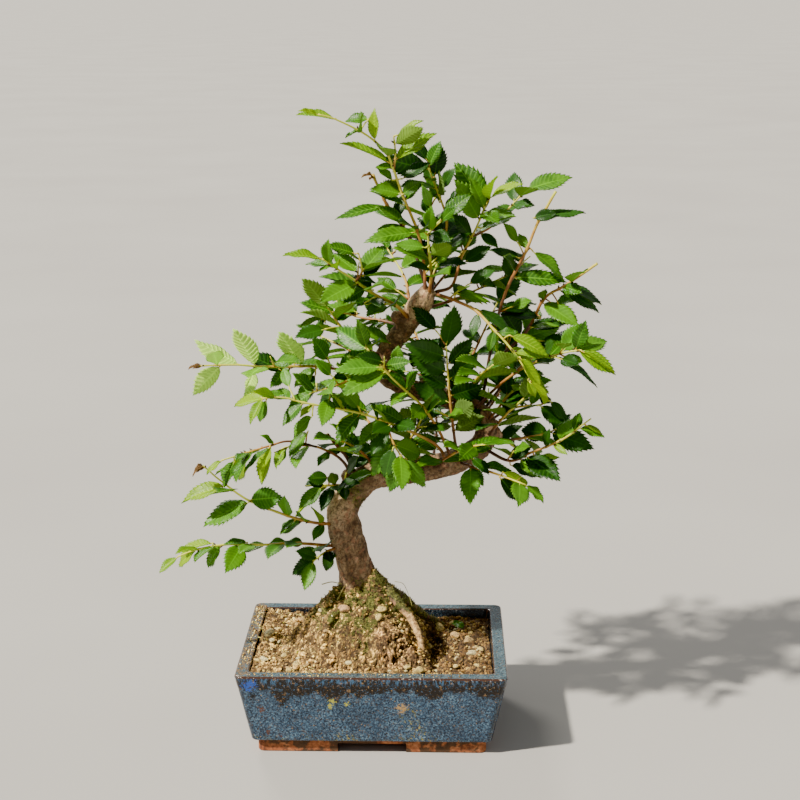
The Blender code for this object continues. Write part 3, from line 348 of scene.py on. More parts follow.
class Surface:
    """The nodes of one material, added step by step, ending in a Principled shader."""

    def __init__(self, name, roughness=0.6, **values):
        self.material = bpy.data.materials.new(name)
        self.material.use_nodes = True
        self.tree = self.material.node_tree
        self.shader = self.tree.nodes["Principled BSDF"]
        self.output = self.tree.nodes["Material Output"]
        self.shader.inputs["Roughness"].default_value = roughness
        for key, value in values.items():
            self.shader.inputs[key.replace("_", " ")].default_value = value
        self.place = self.node("TexCoord").outputs["Object"]

    def node(self, kind, inputs=None, **settings):
        made = self.tree.nodes.new("ShaderNode" + kind)
        for key, value in settings.items():
            setattr(made, key, value)
        for key, value in (inputs or {}).items():
            self.feed(made.inputs[key], value)
        return made

    def feed(self, socket, value):
        if isinstance(value, bpy.types.NodeSocket):
            self.tree.links.new(value, socket)
        elif isinstance(value, tuple) and len(value) == 3 and socket.type == "RGBA":
            socket.default_value = (*value, 1)
        else:
            socket.default_value = value

    def set(self, key, value):
        self.feed(self.shader.inputs[key], value)

    def noise(self, size, detail=3.0, rough=0.55, place=None, distort=0.0):
        """Noise whose features are about size millimetres."""
        inputs = {
            "Vector": place or self.place, "Scale": 1 / (size * MM), "Detail": detail, "Roughness": rough,
            "Distortion": distort,
        }
        return self.node("TexNoise", inputs).outputs["Fac"]

    def cells(self, size, feature="F1", output="Distance", place=None):
        inputs = {"Vector": place or self.place, "Scale": 1 / (size * MM)}
        return self.node("TexVoronoi", inputs, feature=feature).outputs[output]

    def math(self, operation, a, b=0.0, clamp=False):
        return self.node("Math", {0: a, 1: b}, operation=operation, use_clamp=clamp).outputs[0]

    def step(self, value, low, high, to_low=0.0, to_high=1.0):
        """The value, eased from low to high into the given limits."""
        inputs = {"Value": value, "From Min": low, "From Max": high, "To Min": to_low, "To Max": to_high}
        return self.node("MapRange", inputs, interpolation_type="SMOOTHSTEP").outputs["Result"]

    def mix(self, factor, a, b, blend="MIX"):
        made = self.node("Mix", data_type="RGBA", blend_type=blend)
        self.feed(made.inputs["Factor"], factor)
        self.feed(made.inputs[6], a)
        self.feed(made.inputs[7], b)
        return made.outputs[2]

    def times(self, a, b):
        """One colour multiplied by another."""
        return self.mix(1.0, a, b, "MULTIPLY")

    def axis(self, name):
        """The place's X, Y or Z."""
        return self.node("SeparateXYZ", {0: self.place}).outputs[name]

    def drawn(self, share):
        """The place with heights shrunk to a share, for noise that runs down a wall."""
        return self.node("Mapping", {0: self.place, 3: (1, 1, share)}).outputs[0]

    def ramp(self, value, *stops):
        """Colours by position along a ramp."""
        made = self.node("ValToRGB", {"Fac": value})
        band = made.color_ramp
        while len(band.elements) < len(stops):
            band.elements.new(0.5)
        for element, (position, colour) in zip(band.elements, stops):
            element.position = position
            element.color = (*colour, 1)
        return made.outputs["Color"]

    def value(self, name):
        return self.node("Attribute", attribute_name=name).outputs["Fac"]

    def bump(self, height, distance, strength=1.0):
        """Relief of the given height in millimetres."""
        inputs = {"Height": height, "Distance": distance * MM, "Strength": strength}
        self.set("Normal", self.node("Bump", inputs).outputs["Normal"])


def frame_z(z):
    """A height in the frame, in metres."""
    return z * MM + ORIGIN.z


def frame_x(x):
    """A sideways place in the frame, in metres."""
    return ORIGIN.x + x * MM


def scaled(colour, factor):
    return tuple(c * factor for c in colour)


# The wood's lines


def smooth_line(route, step):
    """Points about a step apart on a smooth curve through the route; further values are carried along."""
    rows = [Vector(p) for p in route]
    rows = [2 * rows[0] - rows[1], *rows, 2 * rows[-1] - rows[-2]]
    found = []
    for a, b, c, d in zip(rows, rows[1:], rows[2:], rows[3:]):
        pieces = max(1, round((c.to_3d() - b.to_3d()).length / step))
        for k in range(pieces):
            t = k / pieces
            square = 2 * a - 5 * b + 4 * c - d
            cube = 3 * b - a - 3 * c + d
            found.append(0.5 * (2 * b + (c - a) * t + square * t ** 2 + cube * t ** 3))
    found.append(rows[-2])
    return found


def tube(points, radii, sides, lump=0.0):
    """Rings of points round a line of points, with the faces between them and both caps."""
    vertices = []
    faces = []
    normal = Vector((0.3, -1, 0.2))
    for k, (point, radius) in enumerate(zip(points, radii)):
        along = points[min(k + 1, len(points) - 1)] - points[max(k - 1, 0)]
        along.normalize()
        normal = (normal - along * normal.dot(along)).normalized()
        across = along.cross(normal)
        for side in range(sides):
            turn = 2 * math.pi * side / sides
            out = normal * math.cos(turn) + across * math.sin(turn)
            swell = 1 + lump * noise.noise((point + out * radius) * 0.11)
            vertices.append(point + out * radius * swell)
    for k in range(len(points) - 1):
        for side in range(sides):
            near = k * sides + side
            beside = k * sides + (side + 1) % sides
            faces.append((near, beside, beside + sides, near + sides))
    faces.append(tuple(reversed(range(sides))))
    faces.append(tuple(range(len(vertices) - sides, len(vertices))))
    return vertices, faces


def merged(shapes):
    """Several shapes' points and faces as one."""
    vertices = []
    faces = []
    for more, sides in shapes:
        faces += [tuple(k + len(vertices) for k in face) for face in sides]
        vertices += more
    return vertices, faces


# The ground

BANKS = [p.to_3d() for name in BANKED_ROOTS for p in smooth_line(ROOTS[name], 5.0)]


def mound_share(x, y):
    """The share of the way from the mound's middle to its foot, and how much a place is on its right."""
    aside = x - MOUND_CENTRE[0]
    behind = y - MOUND_CENTRE[1]
    right = max(0.0, aside / (math.hypot(aside, behind) + 1)) ** 2
    reach = MOUND_REACH[0] + (MOUND_REACH_RIGHT - MOUND_REACH[0]) * right
    return min(1.0, math.hypot(aside / reach, behind / MOUND_REACH[1])), right


def ground(x, y):
    """Height of the soil over a place in the pot, as in the source."""
    away, right = mound_share(x, y)
    bulge = MOUND_BULGE + (MOUND_BULGE_RIGHT - MOUND_BULGE) * right
    mound = MOUND_HEIGHT * (1 - away ** bulge) ** 1.15
    dip = SOIL_DIP * max(0.0, min(1.0, (x + y - 20) / 80))
    rough = noise.noise(Vector((x, y, 0)) * 0.16) * SOIL_ROUGH
    rough += MOUND_ROUGH * min(1.0, 2 - 2 * away) * noise.noise(Vector((x, y, 7)) * 0.21)
    level = SOIL_TOP - dip + mound + rough
    for point in BANKS:
        away = (x - point.x) ** 2 + (y - point.y) ** 2
        level = max(level, point.z - BANK_DROP - BANK_SLOPE * away)
    return level


# The pot

POT_STEP = 1.25
RIM_ROUNDING = 1.3
FOOT_ROUNDING = 1.2
DRIP_DEPTH = 9.5
DRIP_RELIEF = 0.25
# Deep lobes of the dark run on the front wall: (x, half width, further depth)
DRIPS = ((-57, 6, 6), (-24, 8, 7), (-7, 5, 5), (40, 8, 5), (76, 7, 6))
WOBBLE = 0.22


def outer_size(z):
    share = (z - BODY_FOOT) / (POT_HEIGHT - BODY_FOOT)
    return [a + (b - a) * share for a, b in zip(BODY_SIZE_LOW, RIM_SIZE)]


def inner_size(z):
    share = (z - FLOOR_TOP) / (POT_HEIGHT - FLOOR_TOP)
    low = [side - 2 * WALL_LOW for side in BODY_SIZE_LOW]
    high = [side - 2 * RIM_BREADTH for side in RIM_SIZE]
    return [a + (b - a) * share for a, b in zip(low, high)]


def pot_rows():
    """The pot's rounded rectangles, each (width, depth, z), from under its body over the rim to its floor."""
    rows = []
    arc = [k * math.pi / 8 for k in range(5)]
    for turn in arc:
        z = BODY_FOOT + FOOT_ROUNDING * (1 - math.cos(turn))
        inset = FOOT_ROUNDING * (1 - math.sin(turn))
        rows.append([side - 2 * inset for side in outer_size(z)] + [z])
    top = POT_HEIGHT - RIM_ROUNDING
    low = BODY_FOOT + FOOT_ROUNDING
    count = round((top - low) / POT_STEP)
    for k in range(1, count):
        z = low + (top - low) * k / count
        rows.append(outer_size(z) + [z])
    for turn in arc:
        z = top + RIM_ROUNDING * math.sin(turn)
        inset = RIM_ROUNDING * (1 - math.cos(turn))
        rows.append([side - 2 * inset for side in outer_size(POT_HEIGHT)] + [z])
    flat = RIM_BREADTH - 2 * RIM_ROUNDING
    for k in range(1, 6):
        inset = RIM_ROUNDING + flat * k / 6
        dish = 0.25 * math.sin(math.pi * k / 6)
        rows.append([side - 2 * inset for side in RIM_SIZE] + [POT_HEIGHT - dish])
    for turn in arc:
        z = top + RIM_ROUNDING * math.cos(turn)
        inset = RIM_ROUNDING * (1 - math.sin(turn))
        rows.append([side + 2 * inset for side in inner_size(POT_HEIGHT)] + [z])
    low = FLOOR_TOP + 1
    for k in range(1, 15):
        z = top + (low - top) * k / 14
        rows.append(inner_size(z) + [z])
    rows.append([side - 2 for side in inner_size(FLOOR_TOP)] + [FLOOR_TOP])
    return rows


def rounded_plan(width, depth):
    """Points round a rounded rectangle, always as many, from the middle of its front."""
    radius = CORNER_RADIUS
    along = round(RIM_SIZE[0] / POT_STEP / 2)
    across = round(RIM_SIZE[1] / POT_STEP)
    corner = 5
    half = (width / 2 - radius, depth / 2 - radius)
    points = [(half[0] * k / along, -depth / 2) for k in range(along)]
    points += [arc_point(half[0], -half[1], radius, -90 + 90 * k / corner) for k in range(corner)]
    points += [(width / 2, -half[1] + 2 * half[1] * k / across) for k in range(across)]
    points += [arc_point(half[0], half[1], radius, 90 * k / corner) for k in range(corner)]
    points += [(half[0] - 2 * half[0] * k / (2 * along), depth / 2) for k in range(2 * along)]
    points += [arc_point(-half[0], half[1], radius, 90 + 90 * k / corner) for k in range(corner)]
    points += [(-width / 2, half[1] - 2 * half[1] * k / across) for k in range(across)]
    points += [arc_point(-half[0], -half[1], radius, 180 + 90 * k / corner) for k in range(corner)]
    points += [(-half[0] + half[0] * k / along, -depth / 2) for k in range(along)]
    return points


def arc_point(x, y, radius, degrees):
    turn = math.radians(degrees)
    return x + radius * math.cos(turn), y + radius * math.sin(turn)


def drip_edge(x, y):
    """How far below the rim the dark run of glaze ends over a place on the wall."""
    round_wall = Vector((x, y, 0))
    depth = DRIP_DEPTH + 3 * noise.noise(round_wall * 0.03 + Vector((0, 0, 4)))
    depth += (
        8 * abs(noise.noise(round_wall * 0.075)) + 2.2 * noise.noise(round_wall * 0.33 + Vector((0, 0, 9)))
    )
    if y < 0:
        depth += sum(more * math.exp(-((x - middle) / half) ** 2) for middle, half, more in DRIPS)
    return depth


def make_pot():
    """The body with its rounded rim and a slightly raised run of dark glaze, on a ledge with four feet."""
    rows = pot_rows()
    vertices = []
    for width, depth, z in rows:
        for x, y in rounded_plan(width, depth):
            out = Vector((x / width, y / depth, 0))
            out = Vector((out.x if abs(out.x) > 0.48 else 0, out.y if abs(out.y) > 0.48 else 0, 0))
            place = Vector((x, y, z))
            wobble = WOBBLE * noise.noise(place * 0.03) + 0.06 * noise.noise(place * 0.25)
            under = drip_edge(x, y) - (POT_HEIGHT - z)
            relief = DRIP_RELIEF * max(0.0, min(1.0, under / 1.5)) * min(1.0, (POT_HEIGHT - z) / 3)
            outside = width >= outer_size(z)[0] - 1.5
            shift = out.normalized() * (wobble + (relief if outside else 0) - 0.3 if outside else -wobble)
            vertices.append(place + shift)
    ring = len(vertices) // len(rows)
    faces = [tuple(reversed(range(ring)))]
    for k in range(len(rows) - 1):
        for side in range(ring):
            beside = (side + 1) % ring
            faces.append((k * ring + side, k * ring + beside, (k + 1) * ring + beside, (k + 1) * ring + side))
    faces.append(tuple(range(len(vertices) - ring, len(vertices))))
    pot = add_piece("glazed_pot", vertices, faces, [glaze(), terracotta()])
    ledge = rounded_block("ledge", LEDGE_SIZE, 0, BODY_FOOT + 3, 4.5, 0.9)
    channels = [rounded_block("channel", size, -5, FOOT_HEIGHT, 0.5, 0.3) for size in CHANNELS]
    combine(ledge, channels, "DIFFERENCE")
    combine(pot, [ledge], "UNION")
    combine(pot, [drain(-DRAIN_X), drain(DRAIN_X)], "DIFFERENCE")
    pot.data.polygons.foreach_set("use_smooth", np.full(len(pot.data.polygons), True))
    pot.data.set_sharp_from_angle(angle=math.radians(42))
    for face in pot.data.polygons:
        place = local(face.center)
        within_walls = all(abs(place[k]) < inner_size(place.z)[k] / 2 - 1 for k in range(2))
        face.material_index = int(place.z < BODY_FOOT + 0.25 or within_walls)
    drip = []
    edge = []
    corner = []
    hidden = []
    for vertex in pot.data.vertices:
        x, y, z = local(vertex.co)
        drip.append(drip_edge(x, y) - (POT_HEIGHT - z))
        width, depth = outer_size(z)
        out = min(width / 2 - abs(x), depth / 2 - abs(y))
        hidden.append(float(z < POT_HEIGHT - 0.6 and out > 5))
        corner.append(math.exp(-(max(0.0, max(width / 2 - abs(x), depth / 2 - abs(y)) - 0.5) / 3.2) ** 2))
        beside = max(1 - max(0.0, out - 0.3) / 1.3, 0.8 - abs(out - RIM_BREADTH) / 1.6)
        edge.append(max(0.0, 1 - abs(POT_HEIGHT - z - 0.5) / 1.1) * max(0.0, beside))
    for label, values in (("drip", drip), ("edge", edge), ("corner", corner), ("inside", hidden)):
        add_values(pot, label, values)
    return pot


def rounded_block(name, size, low, high, radius, bevel):
    """A block with rounded upright edges and bevelled others."""
    shape = bmesh.new()
    bmesh.ops.create_cube(shape, size=1)
    for vertex in shape.verts:
        x, y, z = vertex.co
        vertex.co = world((x * size[0], y * size[1], low + (z + 0.5) * (high - low)))
    upright = [e for e in shape.edges if abs(e.verts[0].co.z - e.verts[1].co.z) > 0.5 * (high - low) * MM]
    bmesh.ops.bevel(shape, geom=upright, offset=radius * MM, segments=4, profile=0.5, affect="EDGES")
    level = [e for e in shape.edges if abs(e.verts[0].co.z - e.verts[1].co.z) < 1e-6]
    bmesh.ops.bevel(shape, geom=level, offset=bevel * MM, segments=2, profile=0.5, affect="EDGES")
    return bmesh_object(name, shape)


def drain(x):
    shape = bmesh.new()
    bmesh.ops.create_cone(
        shape, cap_ends=True, segments=32, radius1=DRAIN_RADIUS * MM, radius2=DRAIN_RADIUS * MM,
        depth=3 * FLOOR_TOP * MM, matrix=Matrix.Translation(world((x, 0, 0))),
    )
    return bmesh_object("drain", shape)


def bmesh_object(name, shape):
    mesh = bpy.data.meshes.new(name)
    shape.to_mesh(mesh)
    shape.free()
    made = bpy.data.objects.new(name, mesh)
    bpy.context.scene.collection.objects.link(made)
    return made


def combine(piece, others, operation):
    """Joins the others to the piece, or cuts them from it, and removes them."""
    group = bpy.data.collections.new("operands")
    bpy.context.scene.collection.children.link(group)
    for other in others:
        bpy.context.scene.collection.objects.unlink(other)
        group.objects.link(other)
    boolean = piece.modifiers.new("combine", "BOOLEAN")
    boolean.operation = operation
    boolean.operand_type = "COLLECTION"
    boolean.collection = group
    boolean.solver = "MANIFOLD"
    apply_modifiers(piece)
    for other in others:
        bpy.data.objects.remove(other)
    bpy.data.collections.remove(group)


def apply_modifiers(piece):
    graph = bpy.context.evaluated_depsgraph_get()
    graph.update()
    result = bpy.data.meshes.new_from_object(piece.evaluated_get(graph))
    piece.modifiers.clear()
    piece.data = result


def glaze():
    """Speckled blue glaze, teal and dusty on the rim, brown along its edges with painted white highlights on
    them, with a dark run below.
    """
    look = Surface("glaze", 0.16, Coat_Weight=0.2, Coat_Roughness=0.06, Specular_IOR_Level=0.3)
    fine = look.noise(1.25, 4.0, 0.85)
    blue = look.ramp(
        fine, (0.38, (0.003, 0.005, 0.010)), (0.455, (0.010, 0.023, 0.050)), (0.51, (0.026, 0.068, 0.130)),
        (0.565, (0.066, 0.138, 0.222)), (0.65, (0.180, 0.275, 0.355)),
    )
    brown = look.step(look.noise(2.1, 4.0, 0.85, distort=1.0), 0.56, 0.61, 0.0, 0.55)
    blue = look.mix(brown, blue, (0.15, 0.095, 0.045))
    cloud = look.ramp(
        look.noise(13, 4.0, 0.65), (0.36, (0.68, 0.68, 0.70)), (0.50, (0.98, 0.98, 0.98)),
        (0.65, (1.30, 1.26, 1.20)),
    )
    blue = look.times(blue, cloud)
    height = look.axis("Z")
    rim = look.step(height, frame_z(POT_HEIGHT - 1.2), frame_z(POT_HEIGHT - 0.3))
    teal = look.ramp(
        fine, (0.38, (0.010, 0.015, 0.020)), (0.46, (0.030, 0.058, 0.078)), (0.58, (0.072, 0.130, 0.162)),
        (0.68, (0.26, 0.33, 0.34)),
    )
    ragged = look.math("MULTIPLY", look.math("SUBTRACT", look.noise(2.4, 4.0, 0.75), 0.5), 13.0)
    drip = look.math("ADD", look.value("drip"), ragged)
    dark = look.ramp(
        look.noise(3.0, 5.0, 0.8), (0.32, (0.32, 0.20, 0.08)), (0.385, (0.010, 0.006, 0.004)),
        (0.55, (0.004, 0.003, 0.003)), (0.59, (0.050, 0.026, 0.012)), (0.66, (0.34, 0.20, 0.085)),
    )
    flecks = look.step(look.noise(2.0, 5.0, 0.85, distort=0.5), 0.57, 0.62, 0.0, 0.8)
    dark = look.mix(flecks, dark, (0.070, 0.180, 0.330))
    drawn = look.drawn(0.22)
    runs = look.step(look.noise(1.5, 4, 0.8, drawn), 0.50, 0.60)
    runs = look.math("MULTIPLY", runs, look.step(height, frame_z(POT_HEIGHT - 8), frame_z(POT_HEIGHT - 3)))
    dark = look.mix(look.math("MULTIPLY", runs, 0.8), dark, (0.060, 0.160, 0.300))
    colour = look.mix(look.step(drip, -0.6, 0.9), blue, dark)
    streaks = look.drawn(0.2)
    streaks = look.step(look.noise(2.2, 3, 0.7, streaks), 0.38, 0.55)
    colour = look.mix(look.math("MULTIPLY", look.value("corner"), streaks), colour, (0.007, 0.006, 0.008))
    specks = look.step(look.cells(3.1), 0.10, 0.20, 1.0, 0.0)
    specks = look.math("MULTIPLY", specks, look.step(look.noise(7), 0.5, 0.6))
    colour = look.mix(specks, colour, (0.30, 0.18, 0.07))
    for x, z, radius, tint in GLAZE_SPOTS:
        colour = look.mix(glaze_stain(look, (x, front_wall(z), z), radius), colour, tint)
    inner = look.step(look.value("inside"), 0.4, 0.6)
    colour = look.mix(inner, colour, look.times(blue, (0.30, 0.25, 0.22)))
    colour = look.mix(rim, colour, teal)
    left = look.axis("X")
    left = look.step(left, frame_x(-84), frame_x(-77), 0.85, 0.0)
    left = look.math("MULTIPLY", left, look.step(look.noise(2.6, 4, 0.8), 0.45, 0.53))
    dusty = look.step(look.noise(1.7, 4, 0.8), 0.56, 0.62, 0.0, 0.7)
    dust = look.ramp(look.noise(1.1, 3, 0.8), (0.42, (0.045, 0.025, 0.010)), (0.58, (0.27, 0.17, 0.07)))
    colour = look.mix(look.math("MULTIPLY", rim, look.math("MAXIMUM", left, dusty)), colour, dust)
    colour = look.mix(look.step(look.value("edge"), 0.12, 0.5), colour, (0.050, 0.022, 0.014))
    # Painted highlights: pale specks along the rim's edges stand for the lamps' reflections.
    painted_glints = look.math("MULTIPLY", look.value("edge"), look.step(look.noise(1.3, 2), 0.62, 0.68))
    colour = look.mix(painted_glints, colour, (0.7, 0.66, 0.6))
    dirt = dirt_mask(look, height)
    earthy = look.ramp(
        look.noise(1.8, 3), (0.4, (0.10, 0.11, 0.012)), (0.52, (0.34, 0.30, 0.05)), (0.66, (0.42, 0.25, 0.09))
    )
    colour = look.mix(dirt, colour, earthy)
    look.set("Base Color", colour)
    rough = look.step(dirt, 0, 1, 0.13, 0.7)
    look.set("Roughness", look.math("ADD", rough, look.step(fine, 0.4, 0.7, 0.0, 0.08)))
    look.bump(look.math("ADD", look.noise(1.4, 2), look.math("MULTIPLY", dirt, 1.5)), 0.10)
    return look.material


# Stains on the front wall: (x, z, radius, colour)
COBALT = (0.02, 0.09, 0.45)
RUST = (0.10, 0.035, 0.018)
OLIVE = (0.42, 0.40, 0.05)
GLAZE_SPOTS = (
    (-80, 53, 4.5, COBALT), (-78, 44, 3, (0.004, 0.003, 0.004)), (-73, 34, 2.2, RUST), (-69, 16, 1.8, RUST),
    (-60, 13.5, 1.5, RUST), (-26, 41, 2.6, OLIVE), (-16, 39, 1.8, OLIVE), (-27, 37, 1.6, OLIVE),
    (20, 36, 3.6, (0.42, 0.26, 0.10)),
)


def front_wall(z):
    """The front wall's y at a height."""
    return -outer_size(z)[1] / 2


def glaze_stain(look, place, radius):
    """A ragged round stain about a place on the wall."""
    away = look.node("VectorMath", {0: look.place, 1: world(place)}, operation="DISTANCE").outputs["Value"]
    away = look.math("DIVIDE", away, radius * MM)
    away = look.math("ADD", away, look.step(look.noise(1.5, 3, 0.8), 0.3, 0.7, -0.9, 0.9))
    return look.step(away, 0.5, 0.9, 1.0, 0.0)


def dirt_mask(look, height):
    """Where algae and earth cling: along the foot of the wall and down a trail at the front right."""
    low = look.step(height, 10 * MM, 17 * MM, 1.0, 0.0)
    flecks = look.step(look.noise(2.0, 4, 0.75), 0.55, 0.60)
    amount = look.math("MULTIPLY", low, look.step(look.noise(14), 0.44, 0.6))
    for x, z, reach in ((24, 30, 9), (29, 21, 9), (33, 12, 11), (-18, 11, 10)):
        place = world((x, front_wall(z), z))
        away = look.node("VectorMath", {0: look.place, 1: place}, operation="DISTANCE").outputs["Value"]
        amount = look.math("MAXIMUM", amount, look.step(away, 0.3 * reach * MM, reach * MM, 0.9, 0.0))
    return look.math("MULTIPLY", flecks, amount)


def terracotta():
    """Orange fired clay, dirty in patches and darkened near the pot's body by painted shade."""
    look = Surface("terracotta", 0.85)
    colour = look.ramp(
        look.noise(3.5, 4, 0.65), (0.35, (0.12, 0.035, 0.014)), (0.52, (0.34, 0.105, 0.035)),
        (0.7, (0.50, 0.20, 0.08)),
    )
    height = look.axis("Z")
    # Painted shade under the body: darker towards the top of the ledge and feet; the noise adds real dirt
    # patches.
    soiled_and_shaded = look.step(height, 4 * MM, 9 * MM, 0.0, 0.35)
    soiled_and_shaded = look.math("ADD", soiled_and_shaded, look.step(look.noise(8, 4), 0.3, 0.7))
    colour = look.mix(look.step(soiled_and_shaded, 0.5, 0.8, 0.0, 0.85), colour, (0.035, 0.026, 0.014))
    look.set("Base Color", colour)
    look.bump(look.noise(0.8, 3), 0.2)
    return look.material


def dress_screens():
    """The nets keep their shape and get a dull moulded plastic."""
    look = Surface("net_plastic", 0.55)
    colour = look.ramp(look.noise(2.5, 3), (0.4, (0.012, 0.012, 0.012)), (0.7, (0.05, 0.045, 0.04)))
    look.set("Base Color", colour)
    look.bump(look.noise(0.5, 2), 0.05)
    for name in ("drain_screen_left", "drain_screen_right"):
        frame["nodes"][name].data.materials.clear()
        frame["nodes"][name].data.materials.append(look.material)


# The trunk


def make_trunk():
    """The wood in one skin: tubes like the source's, but finer, melted together and given bark."""
    shapes = []
    for sides, step, routes in ((36, 2.5, [TRUNK]), (20, 2.5, [*KNUCKLES.values(), *ROOTS.values()])):
        for route in routes:
            line = smooth_line(route, step)
            shapes.append(tube([p.to_3d() for p in line], [p[3] for p in line], sides, BARK_LUMP))
    trunk = add_piece("trunk_bark", *merged(shapes), [bark()])
    melt = trunk.modifiers.new("melt", "REMESH")
    melt.mode = "VOXEL"
    melt.voxel_size = BARK_CELL * MM
    soften = trunk.modifiers.new("soften", "SMOOTH")
    soften.factor = 0.5
    soften.iterations = 4
    apply_modifiers(trunk)
    trunk.data.materials.clear()
    trunk.data.materials.append(bark())
    line = smooth_line(TRUNK, 3.0)
    tree = KDTree(len(line))
    for k, point in enumerate(line):
        tree.insert(point.to_3d(), k)
    tree.balance()
    root_line = [p.to_3d() for p in smooth_line(ROOTS["front_right"][2:], 2.5)]
    mesh = trunk.data
    places = [local(v.co) for v in mesh.vertices]
    normals = [v.normal.copy() for v in mesh.vertices]
    moss = []
    relief = []
    root = []
    pale = []
    for vertex, place, normal in zip(mesh.vertices, places, normals):
        k = tree.find(place)[1]
        along = (line[min(k + 1, len(line) - 1)] - line[max(k - 1, 0)]).to_3d().normalized()
        height, crack = bark_relief(place, along)
        vertex.co += normal * height * MM
        relief.append(crack)
        away = min((place - point).length for point in root_line) if place.z < 94 and place.x > 12 else 99.0
        root.append(max(0.0, min(1.0, (6.0 - away) / 2)) * max(0.0, min(1.0, (89 - place.z) / 4)))
        moss.append(moss_share(place, normal) * (1 - root[-1]))
        patch = min((place - Vector(middle)).length for middle in PALE_BARK) / PALE_REACH
        patch += 0.5 * noise.noise(place * 0.3)
        pale.append(math.exp(-max(0.0, patch) ** 2))
    mesh.polygons.foreach_set("use_smooth", np.full(len(mesh.polygons), True))
    for label, values in (("moss", moss), ("crack", relief), ("root", root), ("pale", pale)):
        add_values(trunk, label, values)
    return trunk


def bark_relief(place, along):
    """The bark's height at a place, and how deep in a crack it is: flakes drawn out along the wood."""
    drawn = place - along * place.dot(along) * 0.5
    cell = noise.voronoi(drawn * 0.22)[0]
    crack = max(0.0, 1 - (cell[1] - cell[0]) / 0.16)
    lump = noise.noise(place * 0.12) * 0.7 + noise.noise(drawn * 0.45) * 0.45 + noise.noise(place * 1.1) * 0.2
    return lump - 0.45 * crack, crack


def moss_share(place, normal):
    """How mossy the wood is: thick at its foot, on the shaded right of the butt and in the lower bend."""
    low = max(0.0, min(1.0, (114 - place.z) / 24))
    low += 0.8 * max(0.0, min(1.0, (place.x + 2) / 8)) * max(0.0, 1 - abs(place.z - 95) / 14)
    bend = 0.6 * math.exp(-((place - Vector((-12, -6, 168))).length / 15) ** 2)
    patchy = 0.52 + 0.9 * noise.noise(place * 0.2) + 0.5 * noise.noise(place * 0.5) + 0.25 * normal.x
    return max(0.0, min(1.0, (low + bend) * 1.3 * patchy))


def bark():
    """Grey-brown bark with reddish flecks, dark cracks, paler patches, moss and one bare root, and painted
    light on its left side.
    """
    look = Surface("bark", 0.78)
    colour = look.ramp(
        look.noise(9, 5, 0.65), (0.34, (0.095, 0.052, 0.026)), (0.46, (0.165, 0.098, 0.050)),
        (0.55, (0.235, 0.150, 0.080)), (0.66, (0.370, 0.255, 0.145)),
    )
    colour = look.mix(look.step(look.value("pale"), 0.15, 0.75, 0.0, 0.8), colour, (0.62, 0.43, 0.23))
    # Painted light: the bark is paler on its left, the side that faces the key light.
    side = look.axis("X")
    painted_sunlit_side = look.step(side, frame_x(-30), frame_x(-14), 0.5, 0.0)
    colour = look.mix(painted_sunlit_side, colour, (0.46, 0.34, 0.21))
    fine = look.noise(1.6, 4, 0.75)
    fine = look.ramp(fine, (0.34, (0.30, 0.26, 0.23)), (0.50, (0.95, 0.94, 0.92)), (0.68, (1.5, 1.42, 1.25)))
    colour = look.times(colour, fine)
    red = look.math("MULTIPLY", look.step(look.noise(4, 3), 0.53, 0.64), 0.6)
    colour = look.mix(red, colour, (0.34, 0.145, 0.075))
    bare = look.step(look.value("root"), 0.2, 0.7)
    pink = look.ramp(
        look.noise(2.4, 4, 0.75), (0.36, (0.20, 0.100, 0.040)), (0.5, (0.54, 0.33, 0.130)),
        (0.64, (0.86, 0.60, 0.27)),
    )
    colour = look.mix(bare, colour, pink)
    colour = look.mix(look.step(look.value("crack"), 0.2, 1.0, 0.0, 0.75), colour, (0.045, 0.028, 0.018))
    colour = grown_over(look, colour)
    look.set("Base Color", colour)
    look.bump(look.math("ADD", look.noise(0.7, 4, 0.7), look.noise(2.2, 3)), 0.4)
    return look.material


def grown_over(look, colour):
    """The colour with a thin, ragged cover of olive moss where the piece's moss value is high."""
    green = look.ramp(
        look.noise(1.5, 4, 0.8), (0.36, (0.022, 0.024, 0.006)), (0.48, (0.070, 0.078, 0.012)),
        (0.58, (0.160, 0.170, 0.026)), (0.70, (0.400, 0.340, 0.100)),
    )
    moss = look.math("ADD", look.value("moss"), look.step(look.noise(1.6, 4, 0.85), 0.3, 0.7, -0.6, 0.45))
    return look.mix(look.step(moss, 0.38, 0.62, 0.0, 0.9), colour, green)


# The soil

